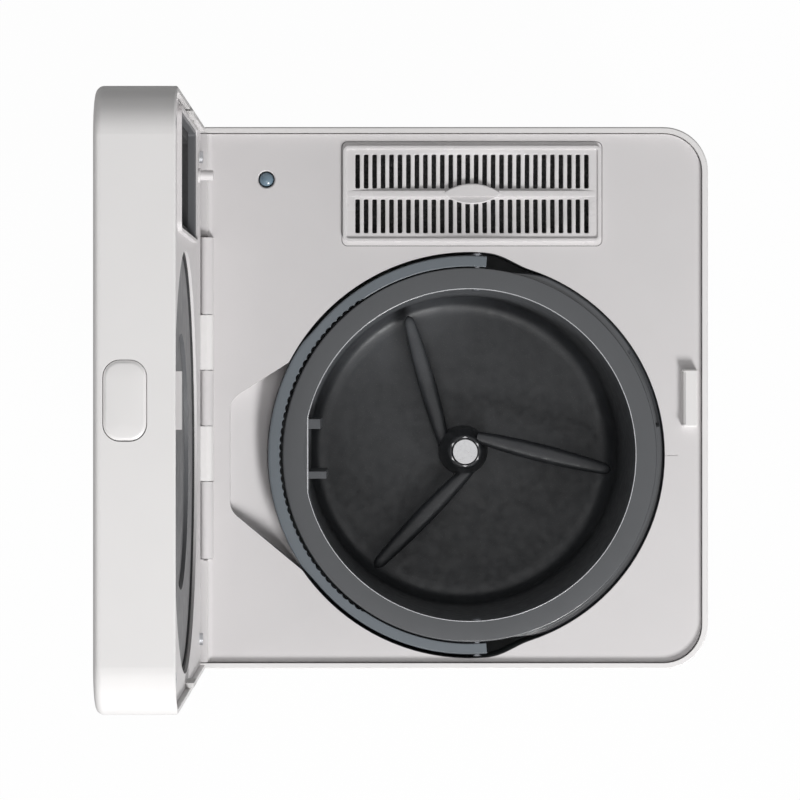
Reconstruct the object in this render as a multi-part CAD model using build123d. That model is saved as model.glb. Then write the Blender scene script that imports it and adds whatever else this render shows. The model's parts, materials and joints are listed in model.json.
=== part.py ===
from build123d import *
import math
import os

os.makedirs("parts", exist_ok=True)

# Electric food waste composter. Millimetres, X to the right, Y to the back, Z up, floor at Z = 0.
# The lid is modelled shut and swung fully open at the end, because it rests open.
# The drive, the bin and the filter set the room inside, and the casing closes round them.

# casing
well_margin = 5.75            # casing's left face to the bin's well
bay_margin = 7.85             # casing's right face to the filter bay
front_margin = 23.9           # casing's front face to the bin's well
back_strip = 6.0              # casing behind the hinge axis
casing_wall = 3.2
front_radius = 25.0
back_radius = 6.0
rim_break = 0.7               # small chamfer on the rims
foot_height = 8.0
foot_radius = 13.0
foot_inset = 34.0             # foot centre to the casing's faces
base_thickness = 3.0
base_upstand = 14.0
deck_drop = 3.0               # deck below the rim
deck_thickness = 3.0
deck_groove = 0.6             # gap between deck and casing
ledge_width = 2.0
ledge_height = 5.0
seat_gap = 0.3                # between pieces that lie on each other but move apart
post_height = 49.0            # screw posts above the base
post_inset = 14.0
post_radius = 5.0
screw_radius = 1.75
screw_head_radius = 3.4

# lid and hinge
lid_thickness = 40.0
lid_wall = 2.8
lid_top_radius = 4.0
parting_gap = 0.5
liner_drop = 3.0              # liner behind the lid's rim
liner_thickness = 2.5
filter_recess = 6.0           # plate over the filter behind the liner's face
recess_lip = 1.6              # raised edge round that recess
knuckle_radius = 4.0
pin_radius = 1.5
pin_clearance = 0.05
knuckle_gap = 0.4
knuckle_lengths = [43.4, 31.0, 31.2, 31.0, 43.4]
bead_radius = 5.2             # rounded back edge of the casing
relief_radius = 5.6           # hollow in the lid that clears the bead
sweep_drop = 6.4              # casing's back edge below the rim
lid_screw_inset = 17.75
front_screw_half = 30.0
buffer_width = 2.5
buffer_length = 28.0
buffer_to_hinge = 127.0
cover_rib_radius = 70.0

# bin and its well
bin_rim_radius = 105.0
bin_rim_width = 12.0
bin_rim_thickness = 3.0
bin_skirt = 14.0
bin_wall = 2.0
bin_floor = 3.0
bin_depth = 156.0
bin_below_rim = 4.0
chord_depth = 2.3             # flat on the back of the mouth
lip_width = 4.0               # front lip outside the rim
lip_to_well = 0.5
well_depth = 35.0             # deck to the well's floor
well_wall = 1.0
well_step_start = 4.5         # degrees in front of the bin's middle
well_step_end = 18.0
pot_gap = 4.0                 # round the bin
pot_wall = 1.5
pot_flange = 4.0
pot_above_gearbox = 20.0
foot_ring_radius = 30.0
heater_rise = 16.0            # above the pot's floor
heater_height = 36.0
sensor_rise = 80.0

# bail handle
bail_gap = 0.8
bail_width = 6.2
bail_swell = 1.2              # wider at the back
bail_to_well = 2.0
bail_height = 6.0
bail_drop = 0.5               # below the bin's rim
bail_pivot_ahead = 4.2        # pivot in front of the bin's middle
bail_end_ahead = 9.5
bail_pin_radius = 2.0
tooth_pitch = 4.5
tooth_count = 46

# stirrer and drive
shaft_radius = 6.0
bush_radius = 8.5
bush_height = 13.0
hub_radius = 15.0
hub_height = 44.0
hub_lift = 16.0               # above the bin's underside
blade_gap = 9.0               # blade tips to the bin's wall
blade_height = 12.0
blade_step = 14.75            # each blade above the last
drive_shaft_radius = 5.0
shaft_clearance = 0.06
dog_radius = 14.0
dog_height = 6.0
dog_plate = 3.0
dog_to_bin = 0.5
dog_lug_angle = 50.0
output_module = 1.5
output_teeth = 60
idler_small_teeth = 18
motor_module = 1.25
idler_large_teeth = 54
motor_teeth = 18
gear_thinning = 0.25
idler_angle = 60.0            # direction of the idler from the output shaft
motor_angle = 0.0             # direction of the motor from the idler
pressure_angle = 20.0
gear_width = 8.0
gear_spacing = 2.0
gear_floor_gap = 3.5
gear_top_gap = 4.5
gearbox_wall = 2.5
gearbox_margin = 4.0
motor_radius = 20.0
motor_length = 56.0
motor_clearance = 13.0        # above the base, for its terminals
axle_radius = 3.0

# filter bay beside the bin
bay_gap = 3.1                 # to the bin's well
bay_ahead = 1.25              # its middle in front of the bin's
bay_width = 58.8
bay_length = 146.2
bay_radius = 3.4
bay_wall = 1.5
bay_depth = 57.0              # below the deck
flange_drop = 0.2             # grille's flange below the deck
flange_thickness = 2.0
frame_width = 54.0
frame_length = 144.8
frame_radius = 3.4
frame_rise = 2.5              # raised frame above the deck
frame_wall = 2.1
panel_drop = 1.2              # slotted panel below the frame
panel_thickness = 1.8
bowl_depth = 3.0
slot_count = 28
slot_pitch = 4.75
slot_width = 2.5
slot_length = 19.0
slot_corner = 0.6
slot_row_offset = 12.55
centre_bar = 3.6
grip_length = 34.5
grip_width = 11.5
pull_depth = 2.3
case_side_gap = 3.9
case_end_gap = 2.1
case_wall = 1.5
case_drop = 9.0               # filter case below the deck
fan_size = 60.0
fan_height = 15.0
fan_bore = 27.0
duct_height = 26.0
duct_wall = 1.5

# lid switch plunger and its peg on the lid
plunger_inset = 29.15         # from the casing's right face
plunger_to_hinge = 33.6
plunger_radius = 3.8
plunger_hole = 4.65
plunger_travel = 3.5
plunger_flange_drop = 9.0     # below the deck's underside
guide_radius = 8.0
guide_bore = 6.3
guide_length = 32.0
peg_radius = 2.8
peg_reach = 5.7               # below the rim plane when shut

# latch
strike_width = 32.4
strike_depth = 8.8
strike_from_front = 6.0
strike_height = 6.0
latch_width = 28.0
latch_travel = 3.5
latch_rear = 30.0             # latch frame's back wall from the front face
hook_front = 15.5
hook_thickness = 2.0
arm_above_rim = 16.0
button_width = 38.3
button_height = 20.6
button_radius = 8.0
button_above_rim = 24.6
button_gap = 0.35
button_proud = 0.6
button_depth = 6.0

# finger pocket behind the bin
pocket_beyond_rim = 29.5
pocket_to_hinge = 13.1
pocket_depth = 20.0
pocket_span = 49.5
pocket_far_half = 31.0
pocket_left = 72.0
pocket_right = 62.5
pocket_corner = 11.0
pocket_wall = 2.0
pocket_lead = 3.0             # depth at the far edge
index_length = 7.0            # line on the deck in front of the bin
index_width = 0.7

# front controls and back
start_below_rim = 60.0
start_radius = 11.0
start_travel = 2.0
lens_above_start = 20.0
lens_width = 26.0
lens_height = 5.0
rear_cover_inset = 9.75
rear_cover_rise = 17.0        # above the base
rear_cover_drop = 64.0        # below the rim
inlet_inset = 51.75           # from the casing's left face
inlet_rise = 49.0             # above the base
inlet_width = 27.2
inlet_height = 19.8
inlet_depth = 21.0
board_inset = 17.75
board_rise = 56.0             # above the rear cover's lower edge
board_width = 86.0
board_height = 98.0
board_thickness = 1.6
board_standoff = 27.0
board_post_inset = 4.0
vent_width = 2.4
vent_pitch = 6.0
intake_width = 50.0
intake_pitch = 7.0
intake_count = 9

# radii about the bin's axis
bin_mouth_radius = bin_rim_radius - bin_rim_width
bin_chord = bin_mouth_radius - chord_depth
lip_radius = bin_rim_radius + lip_width
bail_inner = bin_rim_radius + bail_gap
bail_outer = bail_inner + bail_width
well_back_radius = bail_outer + bail_to_well
well_front_radius = lip_radius + lip_to_well
pot_radius = bin_mouth_radius + bin_wall + pot_gap
blade_reach = bin_mouth_radius - blade_gap
pocket_reach = bin_rim_radius + pocket_beyond_rim

# casing's plan
body_width = well_margin + 2 * well_back_radius + bay_gap + bay_width + bay_margin
body_depth = front_margin + well_front_radius + pocket_reach + pocket_to_hinge
front_y = -(body_depth + lid_thickness) / 2
hinge_y = front_y + body_depth
back_y = hinge_y + back_strip
rear_face_y = back_y - casing_wall
half_width = body_width / 2
bin_x = -half_width + well_margin + well_back_radius
bin_y = hinge_y - pocket_to_hinge - pocket_reach
bay_x = half_width - bay_margin - bay_width / 2
bay_y = bin_y - bay_ahead
plunger_x = half_width - plunger_inset
plunger_y = hinge_y - plunger_to_hinge
bail_pivot_y = bin_y - bail_pivot_ahead
knuckle_start = -sum(knuckle_lengths) / 2
strike_front_y = front_y + strike_from_front
strike_back_y = strike_front_y + strike_depth
idler_distance = output_module * (output_teeth + idler_small_teeth) / 2
motor_distance = motor_module * (idler_large_teeth + motor_teeth) / 2
idler_x = bin_x + idler_distance * math.cos(math.radians(idler_angle))
idler_y = bin_y + idler_distance * math.sin(math.radians(idler_angle))
motor_x = idler_x + motor_distance * math.cos(math.radians(motor_angle))
motor_y = idler_y + motor_distance * math.sin(math.radians(motor_angle))
case_width = bay_width - 2 * case_side_gap
case_length = bay_length - 2 * case_end_gap
rear_cover_half = half_width - rear_cover_inset
inlet_x = -half_width + inlet_inset
board_left = -half_width + board_inset
board_right = board_left + board_width
board_back_y = rear_face_y - board_standoff

# heights, stacked from the floor
base_z = foot_height
base_top_z = base_z + base_thickness
post_top_z = base_top_z + post_height
gearbox_floor_z = base_top_z + motor_clearance + motor_length
low_gear_z = gearbox_floor_z + gear_floor_gap
high_gear_z = low_gear_z + gear_width + gear_spacing
gearbox_top_z = high_gear_z + gear_width + gear_top_gap
pot_floor_z = gearbox_top_z + pot_above_gearbox
dog_floor_z = pot_floor_z + 1.5
dog_mesh_z = dog_floor_z + dog_plate
bin_bottom_z = dog_mesh_z + dog_height + dog_plate + dog_to_bin
shaft_top_z = bin_bottom_z + hub_lift + hub_height
bin_rim_z = bin_bottom_z + bin_depth
bin_flange_z = bin_rim_z - bin_rim_thickness
bail_top_z = bin_rim_z - bail_drop
bail_pivot_z = bail_top_z - bail_height / 2
rim_height = bin_rim_z + bin_below_rim
deck_z = rim_height - deck_drop
deck_under_z = deck_z - deck_thickness
well_floor_z = deck_z - well_depth
bay_floor_z = deck_z - bay_depth
case_floor_z = bay_floor_z + seat_gap
case_top_z = deck_z - case_drop
frame_top_z = deck_z + frame_rise
panel_top_z = frame_top_z - panel_drop
panel_under_z = panel_top_z - bowl_depth - panel_thickness
fan_top_z = bay_floor_z - bay_wall - seat_gap
fan_floor_z = fan_top_z - fan_height
duct_top_z = fan_floor_z
duct_floor_z = duct_top_z - duct_height
guide_bottom_z = deck_under_z - guide_length
plunger_flange_z = deck_under_z - plunger_flange_drop
lid_rim_z = rim_height + parting_gap
lid_top_z = rim_height + lid_thickness
liner_z = rim_height + liner_drop
liner_top_z = liner_z + liner_thickness
arm_z = rim_height + arm_above_rim
button_z = rim_height + button_above_rim
start_z = rim_height - start_below_rim
lens_z = start_z + lens_above_start + lens_height / 2
rear_cover_bottom = base_top_z + rear_cover_rise
rear_cover_top = rim_height - rear_cover_drop
inlet_z = base_top_z + inlet_rise
board_bottom = rear_cover_bottom + board_rise
board_top = board_bottom + board_height


# ---- simple solids ----
def box(x0, x1, y0, y1, z0, z1):
    return Pos((x0 + x1) / 2, (y0 + y1) / 2, (z0 + z1) / 2) * Box(x1 - x0, y1 - y0, z1 - z0)


def rod(x, y, radius, z0, z1):
    return Pos(x, y, (z0 + z1) / 2) * Cylinder(radius, z1 - z0)


def ring(x, y, outer, inner, z0, z1):
    return rod(x, y, outer, z0, z1) - rod(x, y, inner, z0 - 1, z1 + 1)


def rod_x(y, z, radius, x0, x1):
    return Pos((x0 + x1) / 2, y, z) * Rot(0, 90, 0) * Cylinder(radius, x1 - x0)


def rod_y(x, z, radius, y0, y1):
    return Pos(x, (y0 + y1) / 2, z) * Rot(90, 0, 0) * Cylinder(radius, y1 - y0)


def slab(sketch, z0, z1):
    return Pos(0, 0, z0) * extrude(sketch, z1 - z0)


def turned(points, x=0.0, y=0.0):
    # a solid of revolution about a vertical axis, from its outline in radius and height
    outline = make_face(Polyline(*points, close=True))
    return Pos(x, y, 0) * revolve(Plane.XZ * outline, Axis.Z)


def rounded_plate(x, y, width, length, radius, z0, z1):
    return slab(Pos(x, y) * RectangleRounded(width, length, radius), z0, z1)


def around_bin(radius, degrees):
    angle = math.radians(degrees)
    return (radius * math.cos(angle), radius * math.sin(angle))


def sector(inner, outer, start, end):
    # a flat ring sector about the bin's centre, angles from +X towards the back
    middle = (start + end) / 2
    outer_arc = ThreePointArc(around_bin(outer, start), around_bin(outer, middle), around_bin(outer, end))
    inner_arc = ThreePointArc(around_bin(inner, end), around_bin(inner, middle), around_bin(inner, start))
    sides = [Line(outer_arc @ 1, inner_arc @ 0), Line(inner_arc @ 1, outer_arc @ 0)]
    return Pos(bin_x, bin_y) * make_face([outer_arc, sides[0], inner_arc, sides[1]])


# ---- outlines that several pieces share ----
def casing_plan(inset):
    depth = back_y - front_y - 2 * inset
    plan = Pos(0, (front_y + back_y) / 2) * Rectangle(body_width - 2 * inset, depth)
    plan = fillet(plan.vertices().group_by(Axis.Y)[0], front_radius - inset)
    return fillet(plan.vertices().group_by(Axis.Y)[-1], max(back_radius - inset, 1.0))


def well_plan(grow=0.0):
    # wide round the back for the bail, tight round the front, joined by a smooth S on each side
    wide = well_back_radius + grow
    tight = well_front_radius + grow

    def heading(degrees):
        return around_bin(1.0, degrees + 90)

    back = ThreePointArc(around_bin(wide, -well_step_start), (0, wide), around_bin(wide, 180 + well_step_start))
    left = Spline(around_bin(wide, 180 + well_step_start), around_bin(tight, 180 + well_step_end),
                  tangents=[heading(180 + well_step_start), heading(180 + well_step_end)])
    front = ThreePointArc(around_bin(tight, 180 + well_step_end), (0, -tight), around_bin(tight, -well_step_end))
    right = Spline(around_bin(tight, -well_step_end), around_bin(wide, -well_step_start),
                   tangents=[heading(-well_step_end), heading(-well_step_start)])
    return Pos(bin_x, bin_y) * make_face([back, left, front, right])


def pocket_plan(grow=0.0):
    # a trapezium behind the bin, open towards it, with its far corners rounded
    near = bin_y + pocket_reach - pocket_span
    far = bin_y + pocket_reach
    points = [(bin_x - pocket_left, near), (bin_x - pocket_far_half, far),
              (bin_x + pocket_far_half, far), (bin_x + pocket_right, near)]
    outline = make_face(Polyline(*points, close=True))
    outline = fillet(outline.vertices().sort_by(Axis.Y)[2:], pocket_corner)
    return offset(outline, grow) if grow else outline


def lid_sweep():
    # what the lid's back edge passes through behind the hinge axis
    reach = box(-half_width - 1, half_width + 1, hinge_y, back_y + 1, rim_height - sweep_drop, rim_height + 1)
    return reach - rod_x(hinge_y, rim_height, bead_radius, -half_width - 2, half_width + 2)


def knuckle_spans(owner):
    # the casing owns the even places along the hinge and the lid the odd ones
    spans = []
    start = knuckle_start
    for place, length in enumerate(knuckle_lengths):
        if place % 2 == owner:
            spans.append((start + knuckle_gap / 2, start + length - knuckle_gap / 2))
        start += length
    return spans


casing_spans = knuckle_spans(0)
lid_spans = knuckle_spans(1)


def hinge_notch(spans, radius):
    return [rod_x(hinge_y, rim_height, radius, x0 - knuckle_gap, x1 + knuckle_gap) for x0, x1 in spans]


def web_notch():
    # room in the casing's back edge for the webs of the lid's knuckles
    low = rim_height - sweep_drop
    return [box(x0 - knuckle_gap, x1 + knuckle_gap, hinge_y, back_y + 1, low, rim_height + 1)
            for x0, x1 in lid_spans]


def pin_bore():
    return rod_x(hinge_y, rim_height, pin_radius + pin_clearance, knuckle_start - 1, -knuckle_start + 1)


# ---- casing ----
foot_spots = [(side * (half_width - foot_inset), y)
              for side in (-1, 1) for y in (front_y + foot_inset, back_y - foot_inset)]
pillar_reach = output_module * output_teeth / 2 - 1.0
pillar_spots = [(bin_x - pillar_reach, bin_y), (bin_x, bin_y - pillar_reach), (idler_x - 6.0, idler_y + 30.0)]
board_spots = [(x, z) for x in (board_left + board_post_inset, board_right - board_post_inset)
               for z in (board_bottom + board_post_inset, board_top - board_post_inset)]
post_spots = [(side * (half_width - post_inset), y)
              for side in (-1, 1) for y in (front_y + post_inset, rear_face_y - 7.0)]
screw_low_z = post_top_z + 12
screw_high_z = rear_cover_top - 6
rear_screw_spots = [(side * (rear_cover_half - 5.0), z)
                    for side in (-1, 1) for z in (screw_low_z, (screw_low_z + screw_high_z) / 2, screw_high_z)]


def make_body_shell():
    shell = slab(casing_plan(0), base_z, rim_height)
    rim_edges = shell.edges().group_by(Axis.Z)[-1]
    shell = chamfer(rim_edges, rim_break)
    shell -= slab(casing_plan(casing_wall), base_z - 1, rim_height + 1)
    ledge = slab(casing_plan(casing_wall) - casing_plan(casing_wall + ledge_width),
                 deck_under_z - ledge_height, deck_under_z)
    shell += ledge - slab(well_plan(well_wall + 0.2), 0, rim_height)
    for x, y in post_spots:
        post = ring(x, y, post_radius, screw_radius - 0.3, base_top_z, post_top_z)
        toward = half_width - casing_wall + 0.5
        web = box(min(x, math.copysign(toward, x)), max(x, math.copysign(toward, x)), y - 1.5, y + 1.5,
                  base_top_z + base_upstand, post_top_z)
        web -= rod(x, y, post_radius - 1, base_z, post_top_z + 1)
        shell += post
        shell += web
    shell -= rod_y(0, start_z, start_radius + button_gap, front_y - 1, front_y + casing_wall + 1)
    shell -= box(-lens_width / 2 - 0.1, lens_width / 2 + 0.1, front_y - 1, front_y + casing_wall + 1,
                 lens_z - lens_height / 2 - 0.1, lens_z + lens_height / 2 + 0.1)
    shell -= box(-rear_cover_half - 0.3, rear_cover_half + 0.3, rear_face_y - 1, back_y + 1,
                 rear_cover_bottom - 0.3, rear_cover_top + 0.3)
    for x, z in rear_screw_spots:
        side = math.copysign(1, x)
        tab = box(min(x - side * 5, x + side * 5.5), max(x - side * 5, x + side * 5.5),
                  rear_face_y - 6, rear_face_y, z - 5, z + 5)
        shell += tab - rod_y(x, z, screw_radius - 0.3, rear_face_y - 7, rear_face_y + 1)
    inside = half_width - casing_wall
    shell -= box(-inside, inside, hinge_y, back_y + 1, rim_height - sweep_drop, rim_height + 1)
    return shell - lid_sweep()


def make_base_plate():
    plate = slab(casing_plan(casing_wall + 0.2), base_z, base_top_z)
    plate += slab(casing_plan(casing_wall + 0.2) - casing_plan(casing_wall + 2.2), base_top_z,
                  base_top_z + base_upstand)
    for x, y in post_spots:
        plate -= rod(x, y, post_radius + 0.2, base_top_z, base_top_z + base_upstand + 1)
        plate -= rod(x, y, screw_radius + 0.3, base_z - 1, base_top_z + 1)
        plate -= rod(x, y, screw_head_radius + 0.3, base_z - 1, base_z + 1.2)
    for x, y in pillar_spots:
        plate += rod(x, y, 6.0, base_top_z, gearbox_floor_z)
    for x, y in foot_spots:
        plate -= rod(x, y, 4.0, base_z - 1, base_top_z + 1)
    for index in range(intake_count):
        y = bay_y + (index - intake_count) * intake_pitch
        plate -= box(bay_x - intake_width + 5, bay_x + 5, y, y + 3.0, base_z - 1, base_top_z + 1)
    return plate


def make_rear_cover():
    cover = box(-rear_cover_half, rear_cover_half, rear_face_y, back_y, rear_cover_bottom, rear_cover_top)
    cover = fillet(cover.edges().filter_by(Axis.Y), 4.0)
    for x, z in rear_screw_spots:
        cover -= rod_y(x, z, screw_radius + 0.2, rear_face_y - 1, back_y + 1)
        cover -= rod_y(x, z, screw_head_radius + 0.3, back_y - 1.4, back_y + 1)
    cover -= box(inlet_x - inlet_width / 2 - 0.2, inlet_x + inlet_width / 2 + 0.2, rear_face_y - 1, back_y + 1,
                 inlet_z - inlet_height / 2 - 0.2, inlet_z + inlet_height / 2 + 0.2)
    duct_half = fan_size / 2 - 6.0
    for index in range(11):
        x = bay_x - duct_half + index * (2 * duct_half - vent_width) / 10
        cover -= box(x, x + vent_width, rear_face_y - 1, back_y + 1, duct_floor_z + 3, duct_top_z - 3)
    for index in range(int((board_height - 16) / vent_pitch)):
        z = board_bottom + 12 + index * vent_pitch
        cover -= box(board_left + 14, board_right - 8, rear_face_y - 1, back_y + 1, z, z + vent_width)
    for x, z in board_spots:
        cover += rod_y(x, z, 4.0, board_back_y, rear_face_y) - rod_y(x, z, 1.2, board_back_y - 1, rear_face_y)
    return cover


def make_feet():
    feet = []
    for x, y in foot_spots:
        foot = turned([(0, 0), (foot_radius - 2, 0), (foot_radius, 2), (foot_radius - 1.0, foot_height),
                       (3.9, foot_height), (3.9, base_top_z), (5.2, base_top_z), (3.0, base_top_z + 4),
                       (0, base_top_z + 4)], x, y)
        feet.append(foot)
    return Part() + feet


def cap_screw(x, y, z, length):
    # a cross-recessed pan screw standing on its head
    head = rod(x, y, screw_head_radius, z, z + 1.8)
    recess = box(x - 1.8, x + 1.8, y - 0.35, y + 0.35, z - 0.1, z + 0.9)
    recess += box(x - 0.35, x + 0.35, y - 1.8, y + 1.8, z - 0.1, z + 0.9)
    return head - recess + rod(x, y, screw_radius - 0.35, z + 1.8, z + length)


def make_case_screws():
    screws = [cap_screw(x, y, base_z - 0.6, 26.0) for x, y in post_spots]
    screws += [Pos(x, back_y + 0.4, z) * Rot(90, 0, 0) * cap_screw(0, 0, 0, 8.0) for x, z in rear_screw_spots]
    return Part() + screws


# ---- deck ----
def pocket_floor(drop):
    # the space over the pocket's hollow floor, which falls towards the bin in one curve
    far = bin_y + pocket_reach + 6
    near = bin_y + pocket_reach - pocket_span - 6
    top = deck_z + 2
    far_low = deck_z - pocket_lead - drop
    near_low = deck_z - pocket_depth - drop
    fall = Spline((far, far_low), ((far + near) / 2, near_low + 3.5), (near, near_low))
    sides = Polyline((near, near_low), (near, top), (far, top), (far, far_low))
    outline = make_face([fall] + list(sides.edges()))
    return Pos(bin_x - body_width, 0, 0) * extrude(Plane.YZ * outline, 2 * body_width)


def make_deck_plate():
    plate = slab(casing_plan(casing_wall + deck_groove), deck_under_z, deck_z)
    side = half_width - casing_wall - deck_groove
    cove_y = hinge_y - deck_drop - deck_groove
    riser = box(-side, side, cove_y, back_y, rim_height - sweep_drop + deck_groove, rim_height)
    riser -= rod_x(cove_y, rim_height, deck_drop, -side - 1, side + 1)
    plate += riser
    plate -= lid_sweep()
    for notch in hinge_notch([(knuckle_start, -knuckle_start)], knuckle_radius + knuckle_gap) + web_notch():
        plate -= notch
    for x0, x1 in casing_spans:
        knuckle = rod_x(hinge_y, rim_height, knuckle_radius, x0, x1)
        web = box(x0, x1, hinge_y - knuckle_radius, back_y, deck_under_z + 1, rim_height) - lid_sweep()
        plate += knuckle + web
    plate -= pin_bore()
    plate += slab(pocket_plan(pocket_wall), deck_z - pocket_depth - 10, deck_z) & pocket_floor(pocket_wall)
    plate -= slab(pocket_plan(), deck_z - pocket_depth - 10, deck_z + 1) & pocket_floor(0.0)
    plate -= slab(well_plan(), deck_z - pocket_depth - 20, deck_z + 1)
    plate -= rounded_plate(bay_x, bay_y, bay_width, bay_length, bay_radius, 0, deck_z + 1)
    plate -= rod(plunger_x, plunger_y, plunger_hole, 0, deck_z + 1)
    plate -= Pos(plunger_x, plunger_y, deck_z - 0.3) * Cone(plunger_hole, plunger_hole + 0.65, 0.65)
    edge_y = bin_y - well_front_radius
    plate -= box(bin_x - index_width / 2, bin_x + index_width / 2, edge_y - index_length, edge_y + 1,
                 deck_z - 0.3, deck_z + 1)
    return plate


def make_well_liner():
    liner = slab(well_plan(well_wall), well_floor_z - 2, deck_under_z)
    liner -= slab(well_plan(), well_floor_z, deck_under_z + 1)
    liner -= rod(bin_x, bin_y, pot_radius + pot_wall + 0.4, 0, rim_height)
    return liner - slab(pocket_plan(pocket_wall + 0.2), deck_z - pocket_depth - 8, rim_height)


def make_filter_bay():
    outer = rounded_plate(bay_x, bay_y, bay_width + 2 * bay_wall, bay_length + 2 * bay_wall,
                          bay_radius + bay_wall, bay_floor_z - bay_wall, deck_under_z)
    bay = outer - rounded_plate(bay_x, bay_y, bay_width, bay_length, bay_radius, bay_floor_z, rim_height)
    return bay - rod(bay_x, bay_y, fan_bore, 0, rim_height)


def make_strike():
    top = deck_z + strike_height
    block = box(-strike_width / 2, strike_width / 2, strike_front_y, strike_back_y, deck_z, top)
    block = fillet(block.edges().filter_by(Axis.Z), 1.2)
    block = chamfer(block.edges().group_by(Axis.Z)[-1], 0.6)
    return block - box(-strike_width / 2 + 1.5, strike_width / 2 - 1.5, strike_back_y - 3.0, strike_back_y + 1,
                       deck_z + 1.0, top - 1.4)


# ---- lid switch ----
def make_plunger():
    dome_z = deck_z - 1.2
    plunger = rod(plunger_x, plunger_y, plunger_radius, plunger_flange_z, dome_z)
    dome_sphere = (plunger_radius ** 2 + 1.7 ** 2) / (2 * 1.7)
    cap = Pos(plunger_x, plunger_y, dome_z + 1.7 - dome_sphere) * Sphere(dome_sphere)
    plunger += cap & rod(plunger_x, plunger_y, plunger_radius, dome_z, dome_z + 2)
    plunger += rod(plunger_x, plunger_y, guide_bore - 0.3, plunger_flange_z - 2, plunger_flange_z)
    return plunger + rod(plunger_x, plunger_y, 1.6, guide_bottom_z - 4.0, plunger_flange_z)


def make_plunger_guide():
    guide = ring(plunger_x, plunger_y, guide_radius, guide_bore, guide_bottom_z, deck_under_z)
    return guide + ring(plunger_x, plunger_y, guide_radius, 1.9, guide_bottom_z, guide_bottom_z + 2)


def make_lid_switch():
    switch = box(plunger_x - 10, plunger_x + 10, plunger_y - 5, plunger_y + 5, guide_bottom_z - 24,
                 guide_bottom_z - 10)
    for side in (-1, 1):
        x = plunger_x + side * 8.5
        switch += box(x - 1.5, x + 1.5, plunger_y - 5, plunger_y + 5, guide_bottom_z - 10, guide_bottom_z)
    return switch + rod(plunger_x, plunger_y, 1.4, guide_bottom_z - 10, guide_bottom_z - 4.0 - plunger_travel - 0.3)


def coil(radius, wire, z0, z1, turns):
    # a wire spring standing on Z, with an eight-sided wire
    height = z1 - z0 - 2 * wire
    path = Helix(height / turns, height, radius)
    section = Plane(origin=path @ 0, z_dir=path % 0) * RegularPolygon(wire, 8)
    return Pos(0, 0, z0 + wire) * sweep(section, path)


# ---- chamber ----
bearing_radius = 12.2


def make_pot():
    outer = pot_radius + pot_wall
    floor = pot_floor_z - pot_wall
    outline = [(bearing_radius, floor), (outer, floor), (outer, well_floor_z),
               (outer + pot_flange, well_floor_z), (outer + pot_flange, well_floor_z + 1.2),
               (pot_radius, well_floor_z + 1.2), (pot_radius, pot_floor_z), (bearing_radius, pot_floor_z)]
    return turned(outline, bin_x, bin_y)


def make_heater_band():
    outer = pot_radius + pot_wall
    low = pot_floor_z + heater_rise
    high = low + heater_height
    band = ring(bin_x, bin_y, outer + 2.4, outer, low, high)
    band += box(bin_x - 9, bin_x + 9, bin_y - outer - 8, bin_y - outer - 1.8, low + 8, high - 8)
    return band - rod(bin_x, bin_y, outer, 0, rim_height)


def make_temperature_sensor():
    outer = pot_radius + pot_wall
    middle = pot_floor_z + sensor_rise
    sensor = box(bin_x - 6, bin_x + 6, bin_y - outer - 6, bin_y - outer + 3, middle - 6, middle + 6)
    sensor = sensor - rod(bin_x, bin_y, outer, 0, rim_height)
    return sensor + rod_y(bin_x, middle, 2.0, bin_y - outer - 11, bin_y - outer - 5)


# ---- bin ----
def make_bucket():
    outer = bin_mouth_radius + bin_wall
    pail = rod(bin_x, bin_y, outer, bin_bottom_z, bin_flange_z)
    pail = fillet(pail.edges().group_by(Axis.Z)[0], 14.0)
    hollow = rod(bin_x, bin_y, bin_mouth_radius, bin_bottom_z + bin_floor, bin_flange_z + 10)
    hollow = fillet(hollow.edges().group_by(Axis.Z)[0], 12.0)
    pail += rod(bin_x, bin_y, bin_rim_radius - 2.0, bin_flange_z - 3, bin_flange_z)
    pail -= hollow
    pail += ring(bin_x, bin_y, bush_radius + 4.5, bush_radius, bin_bottom_z, bin_bottom_z + bush_height - 1)
    pail += ring(bin_x, bin_y, foot_ring_radius + 3, foot_ring_radius, pot_floor_z + seat_gap, bin_bottom_z + 1)
    return pail - rod(bin_x, bin_y, bush_radius, 0, bin_bottom_z + 20)


def make_bin_rim():
    top = bin_flange_z
    skirt = bin_rim_radius - 2.0
    outline = [(bin_mouth_radius, top), (bin_mouth_radius, bin_rim_z - 0.8), (bin_mouth_radius + 0.8, bin_rim_z),
               (bin_rim_radius - 0.8, bin_rim_z), (bin_rim_radius, bin_rim_z - 0.8),
               (bin_rim_radius, bin_rim_z - bin_skirt), (skirt, bin_rim_z - bin_skirt), (skirt, top)]
    rim = turned(outline, bin_x, bin_y)
    flat = Circle(bin_mouth_radius + 0.5) & Pos(0, bin_chord + 10) * Rectangle(120, 20)
    rim += slab(Pos(bin_x, bin_y) * flat, top, bin_rim_z - 0.4)
    lip = slab(sector(bin_rim_radius - 0.5, lip_radius, -171, -9), bin_rim_z - 8, bin_rim_z - 2.4)
    lip = chamfer(lip.edges().group_by(Axis.Z)[-1].sort_by(Axis.Y)[0:1], 1.2)
    rim += lip - slab(sector(bin_rim_radius + 0.8, lip_radius - 1.0, -81, -56), bin_rim_z - 5.5, bin_rim_z)
    for side in (-1, 1):
        x = bin_x + side * (bin_rim_radius - 1)
        rim -= rod_x(bail_pivot_y, bail_pivot_z, bail_pin_radius, x - 4, x + 4)
    return rim


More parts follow.
